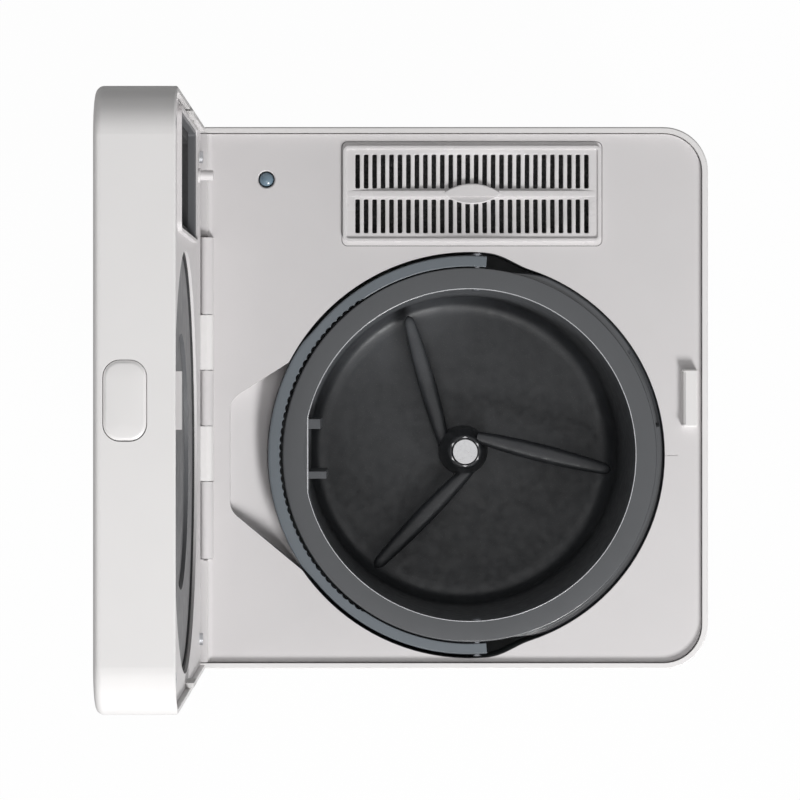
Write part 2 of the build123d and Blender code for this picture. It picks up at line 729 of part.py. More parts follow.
def make_shear_plate():
    # a flat with two fins on the back wall, which the stirrer's arms sweep past
    inside = bin_mouth_radius - 0.05
    flat = Circle(inside) & Pos(0, bin_chord + 10) * Rectangle(120, 20)
    plate = slab(Pos(bin_x, bin_y) * flat, shaft_top_z, bin_flange_z)
    for x0, x1, height in ((-13.4, -9.5, 10.1), (14.6, 20.0, 6.7)):
        plate += box(bin_x + x0, bin_x + x1, bin_y + bin_chord - height, bin_y + bin_chord + 0.5, shaft_top_z,
                     bin_flange_z - 3)
    return plate & rod(bin_x, bin_y, inside, 0, rim_height)


def make_bin_bush():
    return ring(bin_x, bin_y, bush_radius, shaft_radius + shaft_clearance, bin_bottom_z,
                bin_bottom_z + bush_height)


def make_bin_seal():
    floor = bin_bottom_z + bush_height
    return turned([(shaft_radius + 0.08, floor), (bush_radius + 3, floor), (bush_radius + 3, floor + 2.2),
                   (shaft_radius + 1.5, floor + 2.2), (shaft_radius + 0.08, floor + 1.0)], bin_x, bin_y)


def make_bail_handle():
    low = bail_top_z - bail_height
    bail = slab(sector(bail_inner, bail_outer, -7, 187), low, bail_top_z)
    bail += slab(sector(bail_outer - 1.0, bail_outer + bail_swell, 52, 128), low, bail_top_z)
    bail -= box(bin_x - bail_outer - 1, bin_x + bail_outer + 1, bin_y - bail_outer, bin_y - bail_end_ahead,
                low - 1, bail_top_z + 1)
    step = math.degrees(tooth_pitch / bail_inner)
    for index in range(tooth_count):
        angle = 90 + (index - (tooth_count - 1) / 2) * step
        x, y = around_bin(bail_inner - 0.5, angle)
        bail -= rod(bin_x + x, bin_y + y, 1.5, low - 1, bail_top_z + 1)
    return bail - rod_x(bail_pivot_y, bail_pivot_z, bail_pin_radius + pin_clearance, bin_x - bail_outer - 1,
                        bin_x + bail_outer + 1)


def make_bail_pins():
    pins = []
    for side in (-1, 1):
        ends = sorted((bin_x + side * (bin_rim_radius - 1.9), bin_x + side * (bail_outer + 0.4)))
        pin = rod_x(bail_pivot_y, bail_pivot_z, bail_pin_radius, *ends)
        head = sorted((bin_x + side * (bail_outer + 0.4), bin_x + side * (bail_outer + 1.6)))
        pins.append(pin + rod_x(bail_pivot_y, bail_pivot_z, bail_pin_radius + 0.9, *head))
    return Part() + pins


# ---- stirrer and drive ----
def make_stirrer_shaft():
    # the shaft and the cap nut that holds the stirrer on it
    shaft = rod(bin_x, bin_y, shaft_radius, dog_mesh_z + dog_height + 0.3, shaft_top_z - 4)
    shaft += rod(bin_x, bin_y, 4.0, shaft_top_z - 4, shaft_top_z + 5)
    nut = extrude(RegularPolygon(9.0, 6), 7.0)
    nut = nut & (Pos(0, 0, 3.0) * Sphere(8.2) + Cylinder(20, 6))
    nut = Pos(bin_x, bin_y, shaft_top_z) * nut - rod(bin_x, bin_y, 4.0, 0, shaft_top_z + 5)
    return Part() + [shaft, nut]


def make_stirrer():
    low = bin_bottom_z + hub_lift
    outline = [(shaft_radius, low), (hub_radius, low), (hub_radius - 1, low + 0.6 * hub_height),
               (hub_radius - 5, shaft_top_z), (shaft_radius, shaft_top_z)]
    stirrer = turned(outline, bin_x, bin_y)
    for index in range(3):
        lift = 0.5 + index * blade_step
        stirrer += Pos(bin_x, bin_y, low + lift) * Rot(0, 0, index * 120) * stirrer_arm()
    return stirrer - rod(bin_x, bin_y, shaft_radius, 0, rim_height)


def stirrer_arm():
    # a sickle that leans back from the hub to its tip
    front = ThreePointArc((4, 8), (blade_reach * 0.55, 22), (blade_reach * 0.96, 30))
    back = ThreePointArc((blade_reach * 0.94, 37), (blade_reach * 0.5, 32), (0, 14))
    ends = [Line(front @ 1, back @ 0), Line(back @ 1, front @ 0)]
    arm = extrude(make_face([front, ends[0], back, ends[1]]), blade_height)
    return arm & Cylinder(blade_reach, 60)


def dog_lugs(z0, z1, turn):
    lugs = Part()
    for index in range(3):
        middle = turn + index * 120
        lugs += slab(sector(shaft_radius + 1, dog_radius, middle - dog_lug_angle / 2, middle + dog_lug_angle / 2),
                     z0, z1)
    return lugs


def make_driven_dog():
    top = dog_mesh_z + dog_height
    dog = rod(bin_x, bin_y, dog_radius, top, top + dog_plate) + dog_lugs(dog_mesh_z + 0.4, top + 0.1, 60)
    return dog - rod(bin_x, bin_y, shaft_radius, top + 0.3, top + 10)


def make_drive_shaft():
    # the output shaft with its dog on top
    dog = rod(bin_x, bin_y, dog_radius, dog_floor_z, dog_mesh_z)
    dog += dog_lugs(dog_mesh_z - 0.1, dog_mesh_z + dog_height - 0.4, 0)
    return dog + rod(bin_x, bin_y, drive_shaft_radius, gearbox_floor_z + 0.5, dog_mesh_z - 1.0)


def gear_plan(module, teeth, tooth_at):
    # involute teeth on the base circle, straight below it, thinned for backlash
    pitch = module * teeth / 2
    base = pitch * math.cos(math.radians(pressure_angle))
    tip = pitch + module
    root = pitch - 1.25 * module
    slope = math.radians(pressure_angle)
    at_pitch = math.pi / (2 * teeth) - gear_thinning / (2 * pitch) + math.tan(slope) - slope

    def half_angle(radius):
        along = math.acos(min(1.0, base / radius))
        return at_pitch - (math.tan(along) - along)

    start = max(root, base)
    radii = [root] if root < base else []
    radii += [start + (tip - start) * step / 3 for step in range(4)]
    points = []
    for tooth in range(teeth):
        middle = math.radians(tooth_at) + 2 * math.pi * tooth / teeth
        rising = [(radius, middle - half_angle(max(radius, base))) for radius in radii]
        falling = [(radius, middle + half_angle(max(radius, base))) for radius in reversed(radii)]
        points += [(radius * math.cos(angle), radius * math.sin(angle)) for radius, angle in rising + falling]
    return make_face(Polyline(*points, close=True))


def make_output_gear():
    gear = extrude(gear_plan(output_module, output_teeth, idler_angle), gear_width)
    rim_radius = output_module * (output_teeth / 2 - 6)
    gear -= Cylinder(drive_shaft_radius, 60)
    web = Cylinder(rim_radius, 40) - Cylinder(11.0, 60)
    gear -= Pos(0, 0, gear_width - 2.0 + 20) * web
    for index in range(6):
        gear -= Rot(0, 0, index * 60) * Pos((rim_radius + 11.0) / 2, 0, 0) * Cylinder(7.0, 40)
    return Pos(bin_x, bin_y, high_gear_z) * gear


def make_idler_gear():
    small_gap = idler_angle + 180 + 180 / idler_small_teeth
    small = Pos(0, 0, high_gear_z) * extrude(gear_plan(output_module, idler_small_teeth, small_gap), gear_width)
    large = Pos(0, 0, low_gear_z) * extrude(gear_plan(motor_module, idler_large_teeth, motor_angle), gear_width)
    neck = Pos(0, 0, (low_gear_z + high_gear_z) / 2 + gear_width / 2) * Cylinder(9.0, gear_spacing + 1.0)
    gear = small + large + neck
    for index in range(5):
        gear -= Rot(0, 0, index * 72) * Pos(21.0, 0, low_gear_z) * Cylinder(6.0, 40) & Pos(
            0, 0, low_gear_z + gear_width / 2) * Cylinder(60, gear_width + 1)
    return Pos(idler_x, idler_y, 0) * (gear - Pos(0, 0, high_gear_z) * Cylinder(axle_radius + 0.05, 60))


def make_motor_pinion():
    gap = motor_angle + 180 + 180 / motor_teeth
    pinion = extrude(gear_plan(motor_module, motor_teeth, gap), gear_width) - Cylinder(2.5, 60)
    return Pos(motor_x, motor_y, low_gear_z) * pinion + rod(motor_x, motor_y, 2.5, gearbox_floor_z + 0.5,
                                                            low_gear_z + gear_width)


def gearbox_plan(margin):
    spots = [(bin_x, bin_y, output_module * (output_teeth / 2 + 1)),
             (idler_x, idler_y, motor_module * (idler_large_teeth / 2 + 1)),
             (motor_x, motor_y, motor_radius - gearbox_margin)]
    circles = Sketch() + [Pos(x, y) * Circle(radius + margin) for x, y, radius in spots]
    return make_hull(circles.edges())


def make_gearbox_case():
    case = slab(gearbox_plan(gearbox_margin + gearbox_wall), gearbox_floor_z, gearbox_top_z)
    case -= slab(gearbox_plan(gearbox_margin), gearbox_floor_z + gearbox_wall, gearbox_top_z + 1)
    case -= rod(motor_x, motor_y, 2.9, 0, gearbox_top_z)
    bore = drive_shaft_radius + shaft_clearance
    case += ring(bin_x, bin_y, bore + 4, bore, gearbox_floor_z, high_gear_z - 0.6)
    case -= rod(bin_x, bin_y, bore, gearbox_floor_z + 0.5, high_gear_z)
    return case + rod(idler_x, idler_y, axle_radius, gearbox_floor_z, gearbox_top_z)


def make_gearbox_cover():
    cover = slab(gearbox_plan(gearbox_margin + gearbox_wall), gearbox_top_z, gearbox_top_z + gearbox_wall)
    bore = drive_shaft_radius + shaft_clearance
    cover += ring(bin_x, bin_y, bore + 5, bore, high_gear_z + gear_width + 0.6, gearbox_top_z + 6)
    return cover - rod(bin_x, bin_y, bore, 0, rim_height)


def make_pot_bearing():
    bore = drive_shaft_radius + shaft_clearance
    bearing = ring(bin_x, bin_y, bearing_radius, bore, pot_floor_z - 8, pot_floor_z + 1.0)
    return bearing + ring(bin_x, bin_y, bearing_radius + 6, bore, pot_floor_z - pot_wall - 3,
                          pot_floor_z - pot_wall)


def make_motor():
    low = gearbox_floor_z - motor_length
    motor = rod(motor_x, motor_y, motor_radius, low, gearbox_floor_z)
    motor = chamfer(motor.edges().group_by(Axis.Z)[0], 2.0)
    motor += rod(motor_x, motor_y, 7.0, low - 3, low)
    for side in (-1, 1):
        motor += box(motor_x + side * 9 - 2.5, motor_x + side * 9 + 2.5, motor_y - 0.4, motor_y + 0.4, low - 8, low)
    return motor


# ---- filter ----
hole_pitch = 9.0


def make_grille():
    # a flange that fills the bay's mouth, a raised frame, and a slotted panel with a shallow elliptical bowl
    flange_z = deck_z - flange_drop
    grille = rounded_plate(bay_x, bay_y, bay_width - 2 * seat_gap, bay_length - 2 * seat_gap,
                           bay_radius - seat_gap, flange_z - flange_thickness, flange_z)
    frame = rounded_plate(bay_x, bay_y, frame_width, frame_length, frame_radius, case_top_z, frame_top_z)
    grille += chamfer(frame.edges().group_by(Axis.Z)[-1], 0.6)
    inner_width = frame_width - 2 * frame_wall
    inner_length = frame_length - 2 * frame_wall
    for low, high in ((case_top_z - 1, panel_under_z), (panel_top_z, frame_top_z + 1)):
        grille -= rounded_plate(bay_x, bay_y, inner_width, inner_length, frame_radius - frame_wall, low, high)
    bar = slab(Pos(bay_x, bay_y) * Rectangle(centre_bar, inner_length + 1), panel_under_z, panel_top_z)
    grip = slab(grip_plan(grip_length, grip_width), panel_under_z, panel_top_z)
    grille -= grille_bowl(inner_width) - bar - grip
    grille -= slot_field() - grip
    pull = grip_plan(grip_length, grip_width) & Pos(bay_x - grip_width / 2, bay_y) * Rectangle(
        grip_width - 2.6, grip_length)
    return grille - slab(pull, panel_top_z - pull_depth, panel_top_z + 1)


def grille_bowl(width):
    # the outer edge of a large ring, whose two radii give the bowl its width and its length
    across = (width / 2) ** 2 / (2 * bowl_depth)
    along = ((frame_length - 5) / 2) ** 2 / (2 * bowl_depth)
    ring_shape = Torus(along - across, across)
    low = panel_top_z - bowl_depth
    ring_shape = Pos(bay_x, bay_y, low + along) * Rot(0, 90, 0) * ring_shape
    return ring_shape & box(bay_x - width / 2, bay_x + width / 2, bay_y - frame_length / 2,
                            bay_y + frame_length / 2, low - 1, panel_top_z + 1)


def slot_field():
    slots = []
    for index in range(slot_count):
        y = bay_y + (index - (slot_count - 1) / 2) * slot_pitch
        for side in (-1, 1):
            slot = RectangleRounded(slot_length, slot_width, slot_corner)
            slots.append(Pos(bay_x + side * slot_row_offset, y) * slot)
    return slab(Sketch() + slots, case_top_z - 1, rim_height)


def grip_plan(length, width):
    # a lens between two arcs, along the middle of the grille
    half = length / 2
    one = ThreePointArc((bay_x, bay_y - half), (bay_x + width / 2, bay_y), (bay_x, bay_y + half))
    other = ThreePointArc((bay_x, bay_y + half), (bay_x - width / 2, bay_y), (bay_x, bay_y - half))
    return make_face([one, other])


def make_filter_case():
    case = rounded_plate(bay_x, bay_y, case_width, case_length, 2.5, case_floor_z, case_top_z)
    case -= rounded_plate(bay_x, bay_y, case_width - 2 * case_wall, case_length - 2 * case_wall, 1.5,
                          case_floor_z + case_wall, rim_height)
    across_count = int((case_width / 2 - 6) / hole_pitch)
    along_count = int((case_length / 2 - 6) / hole_pitch)
    holes = [Pos(bay_x + across * hole_pitch, bay_y + along * hole_pitch) * Circle(3.2)
             for across in range(-across_count, across_count + 1)
             for along in range(-along_count, along_count + 1)]
    return case - slab(Sketch() + holes, 0, case_floor_z + case_wall + 1)


def make_carbon_pack():
    return rounded_plate(bay_x, bay_y, case_width - 2 * case_wall - 0.2, case_length - 2 * case_wall - 0.2, 1.2,
                         case_floor_z + case_wall, case_top_z - 3.0)


def make_filter_seal():
    outer = rounded_plate(bay_x, bay_y, bay_width - 2 * seat_gap, bay_length - 2 * seat_gap,
                          bay_radius - seat_gap, case_top_z - 7, case_top_z - 3)
    return outer - rounded_plate(bay_x, bay_y, case_width, case_length, 2.5, 0, rim_height)


# ---- fan and duct ----
def make_fan_housing():
    half = fan_size / 2
    housing = rounded_plate(bay_x, bay_y, fan_size, fan_size, 4.0, fan_floor_z, fan_top_z)
    housing -= rod(bay_x, bay_y, fan_bore, fan_floor_z - 1, fan_top_z + 1)
    housing += rod(bay_x, bay_y, 12.0, fan_floor_z, fan_floor_z + 2.0)
    for index in range(3):
        strut = Pos(bay_x, bay_y, fan_floor_z) * Rot(0, 0, 90 + index * 120) * box(10, fan_bore + 2, -1.5, 1.5, 0, 2)
        housing += strut
    housing += rod(bay_x, bay_y, 2.0, fan_floor_z, fan_floor_z + 6.0)
    for across in (-1, 1):
        for along in (-1, 1):
            housing -= rod(bay_x + across * (half - 5), bay_y + along * (half - 5), 1.8, 0, rim_height)
    return housing


def make_fan_rotor():
    low = fan_floor_z + 2.6
    high = fan_top_z - 1.5
    rotor = rod(bay_x, bay_y, 14.0, low, high) - rod(bay_x, bay_y, 2.05, low - 1, low + 4.5)
    for index in range(7):
        blade = Rot(0, 0, index * 360 / 7) * Pos(19.5, 0, 0) * Rot(38, 0, 0) * Box(12.6, 13.0, 1.2)
        rotor += Pos(bay_x, bay_y, (low + high) / 2) * blade & rod(bay_x, bay_y, fan_bore - 1.0, low, high)
    return rotor


def make_exhaust_duct():
    half = fan_size / 2 - 1.5
    front = bay_y - half
    duct = box(bay_x - half, bay_x + half, front, rear_face_y, duct_floor_z, duct_top_z)
    duct -= box(bay_x - half + duct_wall, bay_x + half - duct_wall, front + duct_wall, rear_face_y + 1,
                duct_floor_z + duct_wall, duct_top_z - duct_wall)
    return duct - rod(bay_x, bay_y, fan_bore - 0.5, duct_floor_z + 5, rim_height)


# ---- electrics ----
def make_circuit_boards():
    return Part() + [control_board(), front_board()]


def control_board():
    # places across and up from the board's corner: transformer, relay, capacitor, driver, connector
    front = board_back_y - board_thickness
    board = box(board_left, board_right, front, board_back_y, board_bottom, board_top)
    for across, up, width, height, depth in ((3, 56, 26, 30, 24), (36, 62, 18, 20, 15), (38, 16, 26, 26, 6),
                                             (68, 12, 10, 54, 9)):
        board += box(board_left + across, board_left + across + width, front - depth, front,
                     board_bottom + up, board_bottom + up + height)
    return board + rod_y(board_left + 18, board_bottom + 38, 8.0, front - 22, front)


def make_power_inlet():
    flange = face_plate(inlet_x, inlet_z, inlet_width + 6.8, inlet_height + 7.2, 3.0, back_y, back_y + 1.8)
    inlet = flange + face_plate(inlet_x, inlet_z, inlet_width, inlet_height, 2.0, back_y - inlet_depth, back_y + 0.5)
    return inlet - face_plate(inlet_x, inlet_z, inlet_width - 3.2, inlet_height - 3.4, 3.0,
                              back_y - inlet_depth + 4, back_y + 3)


def face_plate(x, z, width, height, radius, y0, y1):
    # a rounded plate that stands upright, facing along Y
    return Pos(x, y1, z) * Rot(90, 0, 0) * extrude(RectangleRounded(width, height, radius), y1 - y0)


def make_inlet_pins():
    root = back_y - inlet_depth + 4
    pins = [box(inlet_x + x - 1.0, inlet_x + x + 1.0, root, root + 13, inlet_z + z - 2, inlet_z + z + 2)
            for x, z in ((-7.0, -1.5), (0.0, 2.5), (7.0, -1.5))]
    return Part() + pins


def make_start_button():
    button = rod_y(0, start_z, start_radius, front_y - 1.2, front_y + casing_wall + 2)
    button = fillet(button.edges().group_by(Axis.Y)[0], 0.9)
    button += rod_y(0, start_z, start_radius + 2.5, front_y + casing_wall + 0.4, front_y + casing_wall + 2.0)
    return button + rod_y(0, start_z, 2.5, front_y + casing_wall + 2, front_y + casing_wall + 6.0)


def front_board():
    back = front_y + casing_wall + 6.0 + start_travel + 0.4
    low = start_z - 16
    high = lens_z + 7.5
    board = box(-24, 24, back + 2, back + 2 + board_thickness, low, high)
    board += box(-3, 3, back, back + 2, start_z - 3, start_z + 3)
    for x in (-20, 20):
        for z in (low + 4, high - 4):
            board += rod_y(x, z, 2.5, front_y + casing_wall, back + 2)
    return board


def make_indicator_lens():
    lens = box(-lens_width / 2, lens_width / 2, front_y - 0.2, front_y + casing_wall, lens_z - lens_height / 2,
               lens_z + lens_height / 2)
    return lens + box(-lens_width / 2 - 1.5, lens_width / 2 + 1.5, front_y + casing_wall, front_y + casing_wall + 1.2,
                      lens_z - lens_height / 2 - 1.5, lens_z + lens_height / 2 + 1.5)


# ---- lid, modelled shut ----
lid_screw_spots = [(side * (half_width - lid_screw_inset), y)
                   for side in (-1, 1) for y in (front_y + lid_screw_inset, hinge_y - 12.0)]
lid_screw_spots += [(side * front_screw_half, front_y + 12.0) for side in (-1, 1)]


def make_lid_shell():
    shell = slab(casing_plan(0), lid_rim_z, lid_top_z)
    shell = fillet(shell.edges().group_by(Axis.Z)[-1], lid_top_radius)
    shell = chamfer(shell.edges().group_by(Axis.Z)[0], rim_break)
    shell -= slab(casing_plan(lid_wall), lid_rim_z - 1, lid_top_z - lid_wall)
    for x, y in lid_screw_spots:
        shell += ring(x, y, 4.0, screw_radius - 0.35, liner_top_z, lid_top_z - lid_wall + 0.5)
    shell -= rod_x(hinge_y, rim_height, relief_radius, -half_width - 1, half_width + 1)
    for x0, x1 in lid_spans:
        shell += rod_x(hinge_y, rim_height, knuckle_radius, x0, x1)
        shell += box(x0, x1, hinge_y - knuckle_radius, hinge_y + back_strip - lid_wall + 0.2, lid_rim_z,
                     rim_height + 9)
    shell -= pin_bore()
    return shell - face_plate(0, button_z, button_width + 2 * button_gap, button_height + 2 * button_gap,
                              button_radius + button_gap, front_y - 1, front_y + lid_wall + 1)


def make_lid_liner():
    plan = casing_plan(lid_wall + 0.3)
    liner = slab(plan, liner_z, liner_top_z)
    liner += rounded_plate(bay_x, bay_y, bay_width + 2 * recess_lip, bay_length + 2 * recess_lip,
                           bay_radius + recess_lip, rim_height + 0.8, liner_z + filter_recess) & slab(
        plan, rim_height, lid_top_z)
    liner -= rounded_plate(bay_x, bay_y, bay_width, bay_length, bay_radius, 0, lid_top_z)
    liner -= rod(bin_x, bin_y, lip_radius, 0, lid_top_z)
    strike_room = strike_width / 2 + 1.5
    hook_back = front_y + hook_front + hook_thickness + latch_travel
    liner -= box(-strike_room, strike_room, strike_front_y - 0.7, hook_back + 1.0, 0, lid_top_z)
    liner -= box(-half_width, half_width, hinge_y - knuckle_radius - 0.6, back_y, 0, lid_top_z)
    for x, y in lid_screw_spots:
        liner -= rod(x, y, screw_radius + 0.1, 0, lid_top_z)
    return liner


def make_lid_bin_cover():
    cover = rod(bin_x, bin_y, lip_radius + 3.0, liner_top_z, liner_top_z + 2.5)
    cover += rod(bin_x, bin_y, cover_rib_radius, liner_top_z + 2.0, liner_top_z + 4.5)
    cover -= rod(bin_x, bin_y, cover_rib_radius - 4, 0, liner_top_z + 2.0)
    recess = 2 * recess_lip + 0.4
    return cover - rounded_plate(bay_x, bay_y, bay_width + recess, bay_length + recess, bay_radius + recess_lip,
                                 0, lid_top_z)


def make_lid_bin_seal():
    return ring(bin_x, bin_y, lip_radius - 0.2, lip_radius - 3.0, liner_top_z - 1.0, liner_top_z)


def make_lid_filter_plate():
    low = liner_z + filter_recess
    return rounded_plate(bay_x, bay_y, bay_width, bay_length, bay_radius, low, low + 2.0)


def make_lid_filter_gasket():
    top = liner_z + filter_recess
    outer = rounded_plate(bay_x, bay_y, bay_width, bay_length, bay_radius, top - 3.0, top)
    return outer - rounded_plate(bay_x, bay_y, bay_width - 12, bay_length - 12, 2.0, 0, lid_top_z)


def make_lid_buffers():
    pads = []
    for side in (-1, 1):
        outer = half_width - lid_wall - 0.8
        ends = sorted((side * outer, side * (outer - buffer_width)))
        near = hinge_y - buffer_to_hinge
        pad = box(ends[0], ends[1], near - buffer_length, near, rim_height - 1.4, liner_z)
        pads.append(chamfer(pad.edges().group_by(Axis.Z)[0].filter_by(Axis.X), 0.8))
    return Part() + pads


def make_lid_peg():
    peg = turned([(0, rim_height - peg_reach), (peg_radius - 0.8, rim_height - peg_reach),
                  (peg_radius, rim_height - peg_reach + 0.8), (peg_radius, liner_z - 1.5),
                  (peg_radius + 1.2, liner_z - 1.5), (peg_radius + 1.2, liner_z), (0, liner_z)],
                 plunger_x, plunger_y)
    return peg


def make_lid_screws():
    return Part() + [cap_screw(x, y, liner_z - 1.8, 12.0) for x, y in lid_screw_spots]


def make_release_button():
    face = front_y - button_proud
    button = face_plate(0, button_z, button_width, button_height, button_radius, face, front_y + button_depth)
    button = chamfer(button.edges().group_by(Axis.Y)[0], 0.9)
    button -= face_plate(0, button_z, button_width - 3.2, button_height - 3.2, button_radius - 1.6,
                         front_y + 1.4, front_y + button_depth + 1)
    return button


def make_latch_hook():
    half = latch_width / 2
    shank_y = front_y + hook_front
    hook = box(-half, half, shank_y, shank_y + hook_thickness, deck_z + 1.3, arm_z + 2)
    hook += box(-half, half, strike_back_y - 2.2, shank_y + 0.5, deck_z + 1.3, deck_z + 4.2)
    stem_y = front_y + button_depth
    hook += box(-half, half, stem_y, shank_y + 0.5, arm_z, arm_z + 2)
    hook += box(-8, 8, stem_y, stem_y + 2.0, arm_z, button_z + 6)
    hook += box(-8, 8, front_y + 1.6, stem_y + 2.0, button_z - 2, button_z + 2)
    return hook


def make_latch_frame():
    half = latch_width / 2
    rear = front_y + latch_rear
    front = front_y + button_depth + latch_travel + 1.0
    frame = box(-half - 6, half + 6, rear, rear + 2, arm_z - 4, arm_z + 6)
    for side in (-1, 1):
        ends = sorted((side * (half + 3.9), side * (half + 6.5)))
        frame += box(ends[0], ends[1], front, rear + 1, arm_z - 4, arm_z + 6)
        frame += box(ends[0], ends[1], front, front + 9.0, liner_top_z, arm_z - 3)
        guide = sorted((side * (half + 0.4), side * (half + 5)))
        frame += box(guide[0], guide[1], front, front + 3.0, arm_z - 4, arm_z + 6)
    return frame


def open_lid(shape):
    return shape.rotate(Axis((0, hinge_y, rim_height), (1, 0, 0)), -90)


spring_z0 = rim_height + body_depth - latch_rear
spring_z1 = rim_height + body_depth - hook_front - hook_thickness


def make_latch_spring():
    spring = coil(3.0, 0.4, spring_z0, spring_z1, 5)
    return Pos(0, hinge_y + arm_z + 1 - rim_height, 0) * spring


root_nodes = {
    "body_shell": make_body_shell, "base_plate": make_base_plate, "rear_cover": make_rear_cover,
    "rubber_feet": make_feet, "case_screws": make_case_screws,
    "deck_plate": make_deck_plate, "well_liner": make_well_liner, "filter_bay": make_filter_bay,
    "latch_strike": make_strike, "plunger_guide": make_plunger_guide, "lid_switch": make_lid_switch,
    "heating_pot": make_pot, "heater_band": make_heater_band, "temperature_sensor": make_temperature_sensor,
    "gearbox_case": make_gearbox_case, "gearbox_cover": make_gearbox_cover,
    "pot_bearing": make_pot_bearing, "drive_motor": make_motor, "fan_housing": make_fan_housing,
    "exhaust_duct": make_exhaust_duct, "circuit_boards": make_circuit_boards, "power_inlet": make_power_inlet,
    "inlet_pins": make_inlet_pins, "indicator_lens": make_indicator_lens,
}
moving_nodes = {
    "switch_plunger": make_plunger, "bin_bucket": make_bucket, "bin_rim": make_bin_rim,
    "shear_plate": make_shear_plate, "bin_bush": make_bin_bush, "shaft_seal": make_bin_seal,
    "bail_handle": make_bail_handle, "bail_pins": make_bail_pins, "stirrer_shaft": make_stirrer_shaft,
    "stirrer": make_stirrer, "driven_dog": make_driven_dog,
    "drive_shaft": make_drive_shaft, "output_gear": make_output_gear,
    "idler_gear": make_idler_gear, "motor_pinion": make_motor_pinion, "filter_grille": make_grille,
    "filter_case": make_filter_case, "carbon_pack": make_carbon_pack, "filter_seal": make_filter_seal,
    "fan_rotor": make_fan_rotor, "start_button": make_start_button,
}
lid_nodes = {
    "lid_shell": make_lid_shell, "lid_liner": make_lid_liner, "lid_bin_cover": make_lid_bin_cover,
    "lid_bin_seal": make_lid_bin_seal, "lid_filter_plate": make_lid_filter_plate,
    "lid_filter_gasket": make_lid_filter_gasket, "lid_buffers": make_lid_buffers, "lid_peg": make_lid_peg,
    "lid_screws": make_lid_screws, "release_button": make_release_button, "latch_hook": make_latch_hook,
    "latch_frame": make_latch_frame,
}

parts = {name: make() for name, make in (root_nodes | moving_nodes).items()}
parts |= {name: open_lid(make()) for name, make in lid_nodes.items()}
parts["hinge_pin"] = rod_x(hinge_y, rim_height, pin_radius, knuckle_start + 1, -knuckle_start - 1)
parts["latch_spring"] = make_latch_spring()
parts["plunger_spring"] = Pos(plunger_x, plunger_y, 0) * coil(4.0, 0.4, guide_bottom_z + 2, plunger_flange_z - 2, 7)

for name, shape in parts.items():
    export_step(shape, f"parts/{name}.step")
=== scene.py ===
import json
import math
import bmesh
import bpy
import numpy as np
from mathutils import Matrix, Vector


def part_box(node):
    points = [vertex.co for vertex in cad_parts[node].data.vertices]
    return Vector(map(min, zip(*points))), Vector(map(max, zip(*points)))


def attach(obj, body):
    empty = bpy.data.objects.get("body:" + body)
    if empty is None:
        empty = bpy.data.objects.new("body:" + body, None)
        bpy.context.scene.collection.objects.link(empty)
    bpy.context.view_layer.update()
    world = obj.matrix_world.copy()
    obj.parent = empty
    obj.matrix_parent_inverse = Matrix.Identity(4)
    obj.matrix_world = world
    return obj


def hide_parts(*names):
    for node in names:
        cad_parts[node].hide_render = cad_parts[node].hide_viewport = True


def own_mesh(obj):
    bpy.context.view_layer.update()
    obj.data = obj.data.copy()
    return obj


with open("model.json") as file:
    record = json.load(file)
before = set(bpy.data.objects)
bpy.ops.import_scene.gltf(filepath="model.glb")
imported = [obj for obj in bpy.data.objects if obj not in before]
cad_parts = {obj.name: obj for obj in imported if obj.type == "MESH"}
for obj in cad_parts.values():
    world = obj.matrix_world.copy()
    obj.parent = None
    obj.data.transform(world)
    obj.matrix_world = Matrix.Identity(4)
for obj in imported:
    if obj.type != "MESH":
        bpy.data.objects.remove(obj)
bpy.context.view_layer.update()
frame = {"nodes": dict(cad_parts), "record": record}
nodes = frame["nodes"]
mm = 0.001
print("frame loaded:", len(nodes), "nodes")


# shapes that the pieces share
def smoothStep(t):
    # 3t^2 - 2t^3 between 0 and 1
    t = np.clip(t, 0, 1)
    return t * t * (3 - 2 * t)


def between(degrees, start, end, fade):
    # rises from 0 at the start to 1, and falls to 0 at the end, each over so many degrees
    return smoothStep((degrees - start) / fade) * smoothStep((end - degrees) / fade)


def softOutline(corners, cuts, steps=6):
    # closed outline with eased corners: each corner is cut back along both sides, and the points between
    # are (1-t)^2 before + 2t(1-t) corner + t^2 after
    corners = np.asarray(corners, float)
    cuts = np.broadcast_to(np.asarray(cuts, float), len(corners))[:, None]
    back = np.roll(corners, 1, 0) - corners
    ahead = np.roll(corners, -1, 0) - corners
    before = (corners + cuts * back / np.linalg.norm(back, axis=1, keepdims=True))[:, None]
    after = (corners + cuts * ahead / np.linalg.norm(ahead, axis=1, keepdims=True))[:, None]
    t = np.linspace(0, 1, steps)[None, :, None]
    bend = (1 - t) ** 2 * before + 2 * t * (1 - t) * corners[:, None] + t ** 2 * after
    return bend.reshape(-1, 2)


def aboutAxis(radius, angles, height, centre):
    # points about a vertical axis: (cx + r cos a, cy + r sin a, h)
    return np.stack([centre[0] + radius * np.cos(angles), centre[1] + radius * np.sin(angles),
                     height + 0 * radius * angles], -1)


def turned(profile, centre, angles):
    # a section of radius and height carried round a vertical axis
    radius, height = np.asarray(profile, float).T
    return aboutAxis(radius, np.asarray(angles, float)[:, None], height, centre)


def fullTurn(steps):
    # angles all the way round, without the last one, which is the first again
    return np.linspace(0, 2 * math.pi, steps, endpoint=False)


